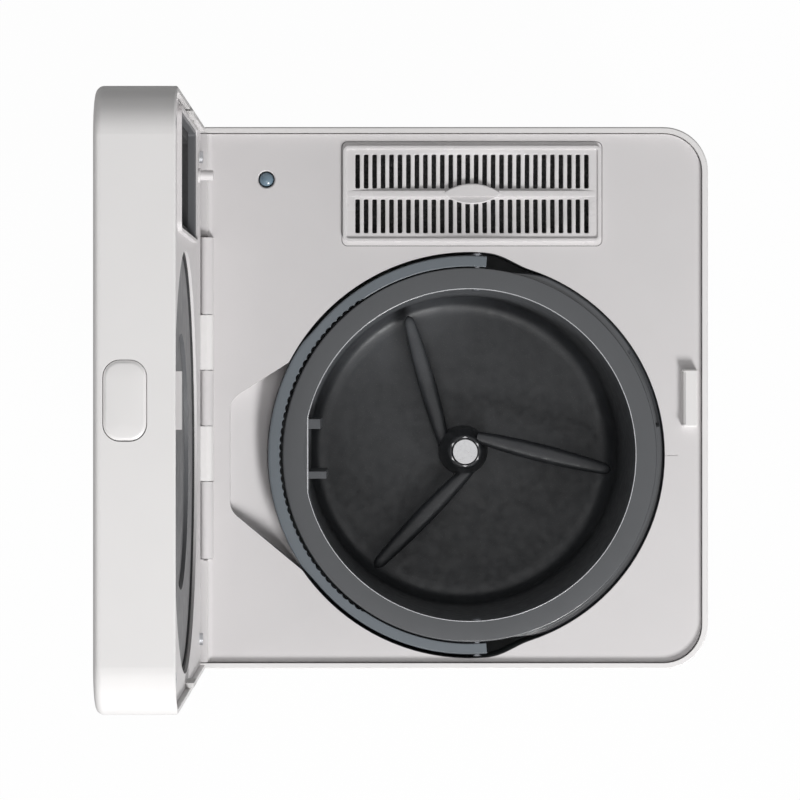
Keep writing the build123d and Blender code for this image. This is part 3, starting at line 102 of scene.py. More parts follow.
def roundedRings(width, length, radius, insets, lifts, steps=9):
    # a rounded rectangle drawn in towards its middle: ring k is the outline moved in by insets[k], at
    # lifts[k]; a corner point is (half side - r) + (r - inset)(cos a, sin a), and past r the corner is sharp
    insets = np.asarray(insets, float)[:, None]
    quarter = np.linspace(0, math.pi / 2, steps)
    angles = (np.arange(4)[:, None] * math.pi / 2 + quarter).ravel()
    signX = np.repeat([1, -1, -1, 1], steps)
    signY = np.repeat([1, 1, -1, -1], steps)
    left = np.maximum(radius - insets, 0)
    over = np.maximum(insets - radius, 0)
    x = signX * np.maximum(width / 2 - radius - over, 0) + left * np.cos(angles)
    y = signY * np.maximum(length / 2 - radius - over, 0) + left * np.sin(angles)
    z = np.asarray(lifts, float)[:, None] + 0 * x
    return np.stack([x, y, z], -1)


def alongPath(path, width, height, power, steps=20):
    # a rounded bar along a path: the section is a superellipse |across/w|^p + |up/h|^p = 1, kept upright
    ahead = np.gradient(path, axis=0)
    side = np.stack([-ahead[:, 1], ahead[:, 0], 0 * ahead[:, 0]], -1)
    side /= np.linalg.norm(side, axis=1, keepdims=True)
    angles = fullTurn(steps)
    across = np.sign(np.cos(angles)) * np.abs(np.cos(angles)) ** (2 / power)
    up = np.sign(np.sin(angles)) * np.abs(np.sin(angles)) ** (2 / power)
    grid = path[:, None] + side[:, None] * (across * width[:, None] / 2)[..., None]
    grid[..., 2] += up * height[:, None] / 2
    return grid


def capped(grid, first=True, last=True):
    # both ends of a tube drawn together at their middles, so that the shell is closed
    rows = [grid]
    if first:
        rows.insert(0, np.repeat(grid[:1].mean(1, keepdims=True), grid.shape[1], 1))
    if last:
        rows.append(np.repeat(grid[-1:].mean(1, keepdims=True), grid.shape[1], 1))
    return np.concatenate(rows)


def gridFaces(rows, columns, roundRows, roundColumns, start):
    # the quads between neighbouring rows and columns of a grid whose points are numbered from start
    r = np.arange(rows if roundRows else rows - 1)
    c = np.arange(columns if roundColumns else columns - 1)
    r, c = (side.ravel() for side in np.meshgrid(r, c, indexing="ij"))
    nextR = (r + 1) % rows
    nextC = (c + 1) % columns
    corners = [r * columns + c, r * columns + nextC, nextR * columns + nextC, nextR * columns + c]
    return start + np.stack(corners, -1)


def meshPiece(name, points, quads, crease):
    # doubles are merged and normals turned outwards, and edges past the crease angle stay sharp
    mesh = bpy.data.meshes.new(name)
    mesh.vertices.add(len(points))
    mesh.vertices.foreach_set("co", np.asarray(points, np.float32).ravel())
    mesh.loops.add(quads.size)
    mesh.loops.foreach_set("vertex_index", quads.astype(np.int32).ravel())
    mesh.polygons.add(len(quads))
    mesh.polygons.foreach_set("loop_start", np.arange(0, quads.size, 4, dtype=np.int32))
    mesh.update(calc_edges=True)
    shell = bmesh.new()
    shell.from_mesh(mesh)
    bmesh.ops.remove_doubles(shell, verts=shell.verts, dist=0.002 * mm)
    bmesh.ops.recalc_face_normals(shell, faces=shell.faces)
    shell.to_mesh(mesh)
    shell.free()
    mesh.shade_smooth()
    mesh.set_sharp_from_angle(angle=math.radians(crease))
    piece = bpy.data.objects.new(name, mesh)
    bpy.context.scene.collection.objects.link(piece)
    return piece


def shellPiece(name, grids, body, surface, replaced=(), crease=32, sheets=()):
    # closed shells in one piece: each grid goes round in its columns, and in its rows too where it says so;
    # a sheet goes round in neither and is closed by its neighbours
    points, faces, start = [], [], 0
    shells = [(grid, roundRows, True) for grid, roundRows in grids]
    for grid, roundRows, roundColumns in shells + [(sheet, False, False) for sheet in sheets]:
        rows, columns = grid.shape[:2]
        points.append(grid.reshape(-1, 3) * mm)
        faces.append(gridFaces(rows, columns, roundRows, roundColumns, start))
        start += rows * columns
    piece = meshPiece(name, np.concatenate(points), np.concatenate(faces), crease)
    piece.data.materials.append(surface)
    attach(piece, body)
    if replaced:
        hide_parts(*replaced)
    print("  piece", name, len(piece.data.polygons), "faces")
    return piece


def place(node):
    # middle, lowest and highest corner of a CAD node, in millimetres
    low, high = (np.array(corner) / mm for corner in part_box(node))
    return (low + high) / 2, low, high


# materials
class Surface:
    # a Principled material with its nodes in reach
    def __init__(self, name, colour, roughness, metallic=0.0):
        self.material = bpy.data.materials.new(name)
        self.material.use_nodes = True
        self.tree = self.material.node_tree
        self.shader = self.tree.nodes["Principled BSDF"]
        self.shader.inputs["Base Color"].default_value = (*colour, 1)
        self.shader.inputs["Roughness"].default_value = roughness
        self.shader.inputs["Metallic"].default_value = metallic
        self.material.diffuse_color = (*colour, 1)
        self.where = self.add("ShaderNodeTexCoord").outputs["Object"]

    def add(self, kind, **settings):
        node = self.tree.nodes.new(kind)
        for name, value in settings.items():
            setattr(node, name, value)
        return node

    def join(self, source, target):
        self.tree.links.new(source, target)

    def mapped(self, move=(0, 0, 0), stretch=(1, 1, 1)):
        mapping = self.add("ShaderNodeMapping")
        mapping.inputs["Location"].default_value = move
        mapping.inputs["Scale"].default_value = stretch
        self.join(self.where, mapping.inputs["Vector"])
        return mapping.outputs["Vector"]

    def noise(self, size, detail=2.0, vector=None):
        node = self.add("ShaderNodeTexNoise")
        node.inputs["Scale"].default_value = 1 / size
        node.inputs["Detail"].default_value = detail
        self.join(vector or self.where, node.inputs["Vector"])
        return node.outputs["Fac"]

    def flecks(self, size):
        node = self.add("ShaderNodeTexVoronoi")
        node.inputs["Scale"].default_value = 1 / size
        self.join(self.where, node.inputs["Vector"])
        return node.outputs["Distance"]

    def ranged(self, source, fromLow, fromHigh, toLow, toHigh):
        node = self.add("ShaderNodeMapRange")
        limits = {"From Min": fromLow, "From Max": fromHigh, "To Min": toLow, "To Max": toHigh}
        for name, value in limits.items():
            node.inputs[name].default_value = value
        self.join(source, node.inputs["Value"])
        return node.outputs["Result"]

    def blended(self, factor, first, second):
        node = self.add("ShaderNodeMix", data_type="RGBA")
        self.join(factor, node.inputs["Factor"])
        for socket, value in ((node.inputs[6], first), (node.inputs[7], second)):
            if isinstance(value, tuple):
                socket.default_value = (*value, 1)
            else:
                self.join(value, socket)
        return node.outputs[2]

    def summed(self, first, second, share=1.0):
        node = self.add("ShaderNodeMath", operation="MULTIPLY_ADD")
        self.join(second, node.inputs[0])
        node.inputs[1].default_value = share
        self.join(first, node.inputs[2])
        return node.outputs["Value"]

    def bumped(self, height, depth, before=None):
        node = self.add("ShaderNodeBump")
        node.inputs["Distance"].default_value = depth
        node.inputs["Strength"].default_value = 1.0
        self.join(height, node.inputs["Height"])
        if before:
            self.join(before, node.inputs["Normal"])
        self.join(node.outputs["Normal"], self.shader.inputs["Normal"])
        return node.outputs["Normal"]


def shaded(colour, share):
    # the colour made lighter or darker by one factor
    return tuple(min(1.0, value * share) for value in colour)


def mouldedPlastic(name, colour, roughness, drift=0.03, grain=0.35, grainDepth=0.004, wave=0.0, coat=0.0):
    # colour drifts with a soft noise, roughness with a finer one, and the skin has a spark-eroded grain
    # over a slow sink wave
    surface = Surface(name, colour, roughness)
    drifting = surface.ranged(surface.noise(38 * mm, 3), 0.3, 0.7, 0, 1)
    surface.join(surface.blended(drifting, shaded(colour, 1 - drift), shaded(colour, 1 + drift)),
                 surface.shader.inputs["Base Color"])
    patch = surface.ranged(surface.noise(9 * mm, 4), 0.25, 0.75, roughness - 0.05, roughness + 0.06)
    surface.join(patch, surface.shader.inputs["Roughness"])
    skin = surface.bumped(surface.noise(grain * mm, 2), grainDepth * mm)
    if wave:
        surface.bumped(surface.noise(26 * mm, 1), wave * mm, skin)
    surface.shader.inputs["Coat Weight"].default_value = coat
    surface.shader.inputs["Coat Roughness"].default_value = 0.12
    return surface.material


def panCoating(name, colour, roughness, fleckColour):
    # fine light flecks where a cell's distance is small, over a faint mottle and a sprayed orange-peel
    surface = Surface(name, colour, roughness)
    mottle = surface.ranged(surface.noise(14 * mm, 4), 0.3, 0.7, 0, 1)
    base = surface.blended(mottle, shaded(colour, 0.86), shaded(colour, 1.12))
    cells = surface.ranged(surface.flecks(1.1 * mm), 0.06, 0.16, 1, 0)
    surface.join(surface.blended(cells, base, fleckColour), surface.shader.inputs["Base Color"])
    patch = surface.ranged(surface.noise(5 * mm, 3), 0.3, 0.7, roughness - 0.07, roughness + 0.08)
    surface.join(patch, surface.shader.inputs["Roughness"])
    surface.bumped(surface.noise(0.8 * mm, 3), 0.02 * mm)
    return surface.material


def turnedMetal(name, colour, roughness, centre, pitch=0.35):
    # tool rings round a vertical axis: sin of the distance from it, broken up by noise
    surface = Surface(name, colour, roughness, 1.0)
    here = surface.mapped(move=(-centre[0] * mm, -centre[1] * mm, 0))
    rings = surface.add("ShaderNodeTexWave", wave_type="RINGS", rings_direction="Z")
    rings.inputs["Scale"].default_value = 1 / (pitch * 20 * mm)
    rings.inputs["Distortion"].default_value = 0.6
    rings.inputs["Detail"].default_value = 2.0
    surface.join(here, rings.inputs["Vector"])
    surface.join(surface.ranged(rings.outputs["Fac"], 0, 1, roughness - 0.06, roughness + 0.1),
                 surface.shader.inputs["Roughness"])
    stain = surface.ranged(surface.noise(12 * mm, 4), 0.3, 0.7, 0, 1)
    surface.join(surface.blended(stain, shaded(colour, 0.9), shaded(colour, 1.06)),
                 surface.shader.inputs["Base Color"])
    surface.bumped(rings.outputs["Fac"], 0.006 * mm)
    return surface.material


def drawnSteel(name, colour, roughness, stretch=(1, 1, 12)):
    # streaks: noise squeezed along one direction, in colour, gloss and relief
    surface = Surface(name, colour, roughness, 1.0)
    streaks = surface.noise(1.6 * mm, 5, surface.mapped(stretch=stretch))
    surface.join(surface.ranged(streaks, 0.25, 0.75, roughness - 0.08, roughness + 0.12),
                 surface.shader.inputs["Roughness"])
    surface.join(surface.blended(streaks, shaded(colour, 0.84), shaded(colour, 1.1)),
                 surface.shader.inputs["Base Color"])
    surface.bumped(streaks, 0.008 * mm)
    return surface.material


def castAlloy(name, colour, roughness):
    # sand-like relief of two noises, duller in its hollows
    surface = Surface(name, colour, roughness, 0.9)
    skin = surface.summed(surface.noise(1.4 * mm, 4), surface.noise(0.4 * mm, 2), 0.4)
    hollows = surface.ranged(skin, 0.5, 0.9, 0, 1)
    surface.join(surface.blended(hollows, shaded(colour, 0.78), shaded(colour, 1.08)),
                 surface.shader.inputs["Base Color"])
    surface.join(surface.ranged(skin, 0.5, 0.9, roughness + 0.1, roughness - 0.06),
                 surface.shader.inputs["Roughness"])
    surface.bumped(skin, 0.05 * mm)
    return surface.material


def softRubber(name, colour, roughness=0.75):
    # dusty rubber: a pale bloom from noise, and a fine matt grain
    surface = Surface(name, colour, roughness)
    bloom = surface.ranged(surface.noise(7 * mm, 5), 0.45, 0.8, 0, 1)
    pale = tuple(value + 0.02 for value in colour)
    surface.join(surface.blended(bloom, colour, pale), surface.shader.inputs["Base Color"])
    surface.join(surface.ranged(surface.noise(3 * mm, 3), 0.3, 0.7, roughness - 0.08, roughness + 0.08),
                 surface.shader.inputs["Roughness"])
    surface.bumped(surface.noise(0.3 * mm, 2), 0.012 * mm)
    return surface.material


def carbonGranules(name):
    # cells a few millimetres wide stand up as grains, lighter at their middles and darker towards their
    # edges, painted shade in the gaps between grains
    surface = Surface(name, (0.03, 0.03, 0.03), 0.6)
    grains = surface.flecks(2.2 * mm)
    # painted shade: the colour darkens with distance from each grain's middle
    shade = surface.ranged(grains, 0.0, 0.7, 0, 1)
    surface.join(surface.blended(shade, (0.055, 0.055, 0.055), (0.01, 0.01, 0.01)),
                 surface.shader.inputs["Base Color"])
    surface.bumped(surface.ranged(grains, 0, 0.8, 1, 0), 0.5 * mm)
    return surface.material


def boardLaminate(name):
    # solder mask over square copper fields: brick-like steps in shade, with a light gloss
    surface = Surface(name, (0.02, 0.13, 0.06), 0.35)
    fields = surface.add("ShaderNodeTexBrick")
    fields.inputs["Scale"].default_value = 60
    fields.inputs["Color1"].default_value = (0.018, 0.12, 0.055, 1)
    fields.inputs["Color2"].default_value = (0.03, 0.17, 0.08, 1)
    fields.inputs["Mortar"].default_value = (0.01, 0.07, 0.035, 1)
    fields.inputs["Mortar Size"].default_value = 0.03
    surface.join(surface.mapped(stretch=(1, 0, 1)), fields.inputs["Vector"])
    surface.join(fields.outputs["Color"], surface.shader.inputs["Base Color"])
    surface.bumped(fields.outputs["Fac"], 0.03 * mm)
    return surface.material


def frostedLens(name):
    # milky diffuser: part transmission, with a fine frost
    surface = Surface(name, (0.85, 0.9, 0.92), 0.45)
    surface.shader.inputs["Transmission Weight"].default_value = 0.45
    surface.join(surface.ranged(surface.noise(0.6 * mm, 3), 0.3, 0.7, 0.35, 0.55),
                 surface.shader.inputs["Roughness"])
    surface.bumped(surface.noise(0.35 * mm, 2), 0.006 * mm)
    return surface.material


binMiddle = place("bin_bucket")[0]
surfaces = {
    "casing_white": mouldedPlastic("casingWhite", (0.80, 0.785, 0.78), 0.34, 0.008, 0.5, 0.002, 0.02, 0.15),
    "deck_grey": mouldedPlastic("deckGrey", (0.67, 0.65, 0.652), 0.42, 0.012, 0.45, 0.004, 0.01),
    "lid_inner": mouldedPlastic("lidInner", (0.69, 0.67, 0.672), 0.42, 0.012, 0.45, 0.004, 0.01),
    "liner_dark": mouldedPlastic("wellLiner", (0.19, 0.2, 0.21), 0.5, 0.05, 0.6, 0.012),
    "rim_dark": mouldedPlastic("binRim", (0.05, 0.053, 0.058), 0.34, 0.04, 0.5, 0.004, 0.0, 0.6),
    "bail_grey": mouldedPlastic("bailGrey", (0.13, 0.148, 0.165), 0.34, 0.05, 0.5, 0.006),
    "bucket_coat": panCoating("binCoating", (0.085, 0.089, 0.096), 0.36, (0.2, 0.2, 0.205)),
    "cast_metal": castAlloy("castAlloy", (0.52, 0.52, 0.53), 0.42),
    "pot_metal": turnedMetal("spunPot", (0.66, 0.66, 0.67), 0.34, binMiddle, 0.5),
    "steel": drawnSteel("drawnSteel", (0.58, 0.58, 0.59), 0.3),
    "screw_steel": drawnSteel("zincScrews", (0.5, 0.51, 0.53), 0.34, (4, 4, 1)),
    "bronze": castAlloy("sinteredBronze", (0.45, 0.28, 0.12), 0.4),
    "gear_nylon": mouldedPlastic("gearNylon", (0.78, 0.75, 0.64), 0.5, 0.03, 0.7, 0.008),
    "black_plastic": mouldedPlastic("blackPlastic", (0.022, 0.022, 0.024), 0.45, 0.15, 0.5, 0.01),
    "black_rubber": softRubber("blackRubber", (0.02, 0.02, 0.021)),
    "pale_rubber": softRubber("paleRubber", (0.68, 0.67, 0.66), 0.6),
    "cover_dark": mouldedPlastic("coverGrey", (0.11, 0.112, 0.118), 0.4, 0.04, 0.5, 0.006),
    "grille_light": mouldedPlastic("grilleLight", (0.71, 0.69, 0.692), 0.25, 0.012, 0.4, 0.003),
    "filter_case": mouldedPlastic("filterCase", (0.03, 0.03, 0.032), 0.5, 0.08, 0.5, 0.01),
    "carbon": carbonGranules("carbonGranules"),
    "plunger_blue": mouldedPlastic("plungerBlue", (0.14, 0.21, 0.27), 0.25, 0.05, 0.4, 0.002, 0.0, 0.4),
    "board": boardLaminate("boardLaminate"),
    "lens": frostedLens("frostedLens"),
}
slotOf = {part["node"]: part["material_slot"] for part in frame["record"]["subparts"]}
for node, piece in nodes.items():
    piece.data.materials.clear()
    piece.data.materials.append(surfaces[slotOf[node]])
print("materials on", len(nodes), "nodes")


# bin
rimSizes = {"mouth": 93.0, "outer": 105.0, "thickness": 3.0, "skirt": 14.0, "wall": 2.0, "lip": 109.0,
            "lipStart": -171.0, "lipEnd": -9.0, "lipFade": 16.0, "lipDrop": 2.4, "lipDepth": 8.0,
            "grooveStart": -81.5, "grooveEnd": -56.5, "grooveFade": 1.5, "grooveDepth": 2.6}


def makeBinRim(size):
    # an eased section turned about the bin, and a lip carried round its front; the lip's reach and the
    # groove in its top swell and fade with the angle
    top = place("bin_rim")[2][2]
    mouth, outer, wall, lip = size["mouth"], size["outer"], size["outer"] - size["wall"], size["lip"]
    skirt, under = top - size["skirt"], top - size["thickness"]
    corners = [(mouth, under), (mouth, top), (outer, top), (outer, skirt), (wall, skirt), (wall, under)]
    ring = turned(softOutline(corners, [0.2, 0.3, 0.8, 0.5, 0.5, 0.6]), binMiddle, fullTurn(240))
    degrees = np.linspace(size["lipStart"], size["lipEnd"], 260)
    swell = between(degrees, size["lipStart"], size["lipEnd"], size["lipFade"])
    groove = between(degrees, size["grooveStart"], size["grooveEnd"], size["grooveFade"])
    lipTop, lipLow = top - size["lipDrop"], top - size["lipDepth"]
    corners = [(outer - 1.5, lipLow), (outer - 1.5, lipTop + 0.5), (outer + 0.9, lipTop + 0.3),
               (outer + 1.2, lipTop + 0.2), (lip - 1.3, lipTop), (lip - 1.0, lipTop), (lip, lipTop - 0.7),
               (lip, lipLow)]
    radius, height = softOutline(corners, [0.2, 0.2, 0.14, 0.14, 0.14, 0.14, 0.5, 0.4]).T
    fixed = outer - 0.6    # what lies inside this radius doesn't swell
    reach = np.where(radius > fixed, fixed + (radius - fixed) * swell[:, None], radius)
    sunk = (radius > outer + 1.0) & (radius < lip - 1.1) & (height > lipTop - 1)
    height = height - sunk * groove[:, None] * size["grooveDepth"]
    front = aboutAxis(reach, np.radians(degrees)[:, None], height, binMiddle)
    shellPiece("binRimRing", [(ring, True), (capped(front), False)], "bin", surfaces["rim_dark"],
               ["bin_rim"], 24)


highlightBeadSizes = {"mouth": 93.1, "chord": 90.7, "wire": 0.4, "wireOut": 0.27, "wireDrop": 0.35, "flatOuter": 94.0,
             "flatDrop": 0.4, "flatDepth": 2.4}


def makePaintedHighlightBead(size):
    # a fine light grey bead round the mouth, a painted highlight along the mouth's edge, at radius
    # min(mouth, chord / sin a), so that it runs straight over the flat at the back; a thin slab fills the
    # segment between that flat and the rim
    top = place("bin_rim")[2][2]
    chord, wire = size["chord"], size["wire"]
    angles = fullTurn(360)[:, None]
    around = fullTurn(10)
    radius = np.minimum(size["mouth"], chord / np.maximum(np.sin(angles), 0.01))
    bead = aboutAxis(radius + size["wireOut"] + wire * np.cos(around), angles,
                     top - size["wireDrop"] + wire * np.sin(around), binMiddle)
    halfSpan = math.acos(chord / size["flatOuter"])
    angles = np.linspace(math.pi / 2 - halfSpan, math.pi / 2 + halfSpan, 41)[:, None]
    inner = chord / np.sin(angles)
    outer = size["flatOuter"] + 0 * angles
    radius = np.concatenate([inner, outer, outer, inner], 1)
    high = top - size["flatDrop"]
    low = high - size["flatDepth"]
    flat = aboutAxis(radius, angles, np.array([high, high, low, low]), binMiddle)
    shellPiece("mouthFlat", [(capped(flat), False)], "bin", surfaces["rim_dark"], crease=30)
    # the bead's light grey is a painted highlight along the mouth's edge, not a part of the rim
    paintedHighlightGrey = mouldedPlastic("paintedHighlightGrey", (0.62, 0.63, 0.65), 0.26, 0.03, 0.5, 0.002, 0.0, 0.5)
    shellPiece("mouthHighlightBead", [(bead, True)], "bin", paintedHighlightGrey, crease=40)


bucketSizes = {"mouth": 93.0, "wall": 2.0, "bottom": 3.0, "footInner": 30.0, "footOuter": 33.0,
               "footHeight": 13.7, "bore": 8.5, "boss": 13.0, "bossHeight": 12.0, "flange": 103.0,
               "flangeDepth": 3.0}


def makeBucket(size):
    # one eased section turned about the bin's axis, with the flange under the rim and a ring to stand on
    low, high = (corner[2] for corner in place("bin_bucket")[1:])
    floor, flangeLow = low + size["footHeight"], high - size["flangeDepth"]
    inside, bossTop = floor + size["bottom"], floor + size["bossHeight"]
    bore, boss, mouth, outer = size["bore"], size["boss"], size["mouth"], size["mouth"] + size["wall"]
    corners = [(bore, floor), (size["footInner"], floor), (size["footInner"], low), (size["footOuter"], low),
               (size["footOuter"], floor), (outer, floor), (outer, flangeLow), (size["flange"], flangeLow),
               (size["flange"], high), (mouth, high), (mouth, inside), (boss, inside), (boss, bossTop),
               (bore, bossTop)]
    cuts = [0.3, 1, 0.6, 0.6, 1, 14, 1, 0.6, 0.6, 0.8, 12, 3, 1, 0.5]
    grid = turned(softOutline(corners, cuts, 9), binMiddle, fullTurn(220))
    shellPiece("binBucket", [(grid, True)], "bin", surfaces["bucket_coat"], ["bin_bucket"],
               40)


bailSizes = {"inner": 105.8, "outer": 112.0, "backOuter": 113.2, "backStart": 50.0, "backEnd": 130.0,
             "backFade": 8.0, "ahead": 9.5, "endRadius": 109.0, "toothPitch": 4.5, "teeth": 46,
             "toothDepth": 1.15, "dish": 0.25}


def makeBail(size):
    # section carried round the bin; its inner side moves out by depth * |cos|^0.7 in the toothed stretch,
    # and its outer side swells at the back
    low, high = (corner[2] for corner in place("bail_handle")[1:])
    inner, outer = size["inner"], size["outer"]
    start = -math.degrees(math.asin(size["ahead"] / size["endRadius"]))
    degrees = np.linspace(start, 180 - start, 1400)
    phase = (degrees - 90) / math.degrees(size["toothPitch"] / inner)
    toothed = smoothStep((size["teeth"] / 2 - np.abs(phase)) / 0.4)
    notch = size["toothDepth"] * toothed * np.abs(np.cos(np.pi * phase)) ** 0.7
    back = between(degrees, size["backStart"], size["backEnd"], size["backFade"])
    corners = [(inner, low), (outer, low), (outer, high), (inner, high)]
    radius, height = softOutline(corners, [0.5, 0.5, 1.1, 0.7], 5).T
    share = (radius - inner) / (outer - inner)
    swell = share ** 2 * (size["backOuter"] - outer) * back[:, None]
    reach = radius + (1 - share) ** 6 * notch[:, None] + swell
    dish = size["dish"] * np.sin(np.pi * share) * (height > high - 1.2)
    grid = aboutAxis(reach, np.radians(degrees)[:, None], height - dish, binMiddle)
    shellPiece("bailHoop", [(capped(grid), False)], "bail", surfaces["bail_grey"],
               ["bail_handle"], 35)


rivetSizes = {"shank": 2.0, "head": 2.9, "root": 103.1, "dome": 1.2, "mouth": 93.0, "innerShank": 1.6,
              "innerHead": 3.2, "innerRoot": 92.6, "innerDrop": 2.0}


def domedPin(centre, radius, headRadius, inner, outer, facing):
    # a pin along X with a domed head: radius against distance along the axis, turned about it
    along = np.array([inner, outer, outer, outer + 0.4, outer + 0.9, outer + 1.15, outer + 1.2])
    out = np.array([radius, radius, headRadius, headRadius, headRadius * 0.82, headRadius * 0.45, 0.0])
    angles = fullTurn(32)[:, None]
    around = np.stack([facing * along + 0 * angles, out * np.cos(angles), out * np.sin(angles)], -1)
    return capped(np.swapaxes(centre + around, 0, 1), True, False)


def makeBailRivets(size):
    # at each end of the bail, one head outside it and one inside the mouth
    middle, low, high = place("bail_pins")
    reach = (high[0] - low[0]) / 2 - size["dome"]
    grids = []
    for facing in (-1, 1):
        outside = np.array([binMiddle[0], middle[1], middle[2]])
        inside = outside + [facing * 2 * size["mouth"], 0, -size["innerDrop"]]
        grids.append((domedPin(outside, size["shank"], size["head"], size["root"], reach, facing), False))
        grids.append((domedPin(inside, size["innerShank"], size["innerHead"], size["innerRoot"],
                               size["mouth"], -facing), False))
    rivetSteel = drawnSteel("rivetSteel", (0.27, 0.28, 0.3), 0.42, (8, 1, 1))
    shellPiece("bailRivets", grids, "bin", rivetSteel, ["bail_pins"], 35)


makeBinRim(rimSizes)
makePaintedHighlightBead(highlightBeadSizes)
makeBucket(bucketSizes)
makeBail(bailSizes)
makeBailRivets(rivetSizes)
print("bin made")


# stirrer
stirrerSizes = {"bore": 6.0, "hub": 15.0, "shoulder": 26.0, "neck": 10.0, "rise": 44.0,
                "armLine": ((2, 11, 0), (48, 24, 0), (80.6, 33.5, 0)), "armHeight": 12.0, "armWidth": 6.5,
                "armBelly": 4.2, "tipStart": 0.93, "lifts": (0.5, 15.0, 30.0), "turns": (0, 120, 240)}


def stirrerArm(size, lift, turn, low):
    # a sickle: its middle line is (1-t)^2 hub + 2t(1-t) belly + t^2 tip, and its width and height fall off
    # as a quarter circle at the tip
    t = np.linspace(0, 1, 70)[:, None]
    hub, belly, tip = np.array(size["armLine"], float)
    line = (1 - t) ** 2 * hub + 2 * t * (1 - t) * belly + t ** 2 * tip
    turn = math.radians(turn)
    spin = np.array([[math.cos(turn), math.sin(turn), 0], [-math.sin(turn), math.cos(turn), 0], [0, 0, 1]])
    line = line @ spin + np.array([binMiddle[0], binMiddle[1], low + lift + size["armHeight"] / 2])
    t = t[:, 0]
    pastStart = ((t - size["tipStart"]) / (1 - size["tipStart"])).clip(0, 1)
    taper = np.sqrt(np.clip(1 - pastStart ** 2, 0.02, 1))
    width = (size["armWidth"] + size["armBelly"] * np.sin(np.pi * t ** 0.8)) * taper
    height = (size["armHeight"] - 2.5 * t) * (0.55 + 0.45 * taper)
    return capped(alongPath(line, width, height, 3.2, 28))


def makeStirrer(size):
    # an eased hub turned about the bin's axis, with an arm at each lift and turn
    low = place("stirrer")[1][2]
    corners = [(size["bore"], low), (size["hub"], low), (size["hub"] - 1, low + size["shoulder"]),
               (size["neck"], low + size["rise"]), (size["bore"], low + size["rise"])]
    hub = turned(softOutline(corners, [0.5, 1.5, 8, 2.0, 0.5], 8), binMiddle, fullTurn(96))
    arms = [(stirrerArm(size, lift, turn, low), False) for lift, turn in zip(size["lifts"], size["turns"])]
    shellPiece("stirrerBlades", [(hub, True)] + arms, "stirrer", surfaces["bucket_coat"],
               ["stirrer"], 40)


makeStirrer(stirrerSizes)
print("stirrer made")


# thumb button and peg of the lid, latch strike, frame of the lid's recess, springs
buttonSizes = {"width": 38.3, "height": 20.6, "radius": 8.0, "edge": 1.3, "bevelDrop": 0.78, "crown": 0.45,
               "wall": 1.6, "roof": 2.0, "depth": 6.6}


def crownedLifts(insets, size):
    # height over a rounded plate: a straight bevel, then a crown 1 - (1 - inset/w)^2
    bevel = -size["bevelDrop"] * (1 - insets / size["edge"]).clip(0, 1)
    face = (insets - size["edge"]).clip(0) / (size["height"] / 2 - size["edge"])
    return bevel + size["crown"] * (1 - (1 - face.clip(0, 1)) ** 2)


def makeReleaseButton(size):
    # rings of the rounded outline start under the hollow skirt, then move in and up over the crowned face
    middle, high = place("release_button")[::2]
    wall, roof, depth, centre = size["wall"], size["roof"], size["depth"], size["height"] / 2
    insets = np.concatenate([np.linspace(0, size["edge"], 9), [2.0, 3.0, 4.5, 6.5, 8.5, centre]])
    lifts = crownedLifts(insets, size) - size["crown"]
    insets = np.concatenate([[centre, wall, wall, 0, 0], insets])
    lifts = np.concatenate([[-roof, -roof, -depth, -depth, -size["edge"] - size["crown"]], lifts])
    rings = roundedRings(size["width"], size["height"], size["radius"], insets, lifts)
    rings += np.array([middle[0], middle[1], high[2]])
    shellPiece("thumbButton", [(rings, False)], "release_latch", surfaces["casing_white"],
               ["release_button"], 30)


pegSizes = {"shank": 2.8, "foot": 4.0, "footDepth": 1.4, "flare": 0.2, "axis": 0.01}


def makeLidPeg(size):
    # an eased section turned about the peg's own axis, which lies along Y with the lid open
    middle, low, high = place("lid_peg")
    reach = high[1] - low[1]
    neck = reach - size["footDepth"]
    axis, shank, foot = size["axis"], size["shank"], size["foot"]
    corners = [(axis, 0), (shank, 0), (shank, neck - size["flare"]), (foot, neck), (foot, reach),
               (axis, reach)]
    grid = turned(softOutline(corners, [0.005, 0.8, 0.4, 0.3, 0.1, 0.005]), (0, 0), fullTurn(48))
    grid = np.stack([middle[0] + grid[..., 0], low[1] + grid[..., 2], middle[2] - grid[..., 1]], -1)
    shellPiece("switchPeg", [(grid, True)], "lid", surfaces["lid_inner"], ["lid_peg"], 35)


strikeSizes = {"endWall": 1.5, "cut": 5.8, "cutLow": 1.0, "cutHigh": 4.6, "overhang": 8.0, "bevel": 1.3,
               "bevelDrop": 1.0, "endBevelDrop": 1.1, "front": ((0, 0.9), (0.22, 0.4), (0.8, 0)),
               "ends": ((0.0, 1.0, 0.9), (0.3, 0.4, 0.5), (0.9, 0.05, 0.0))}


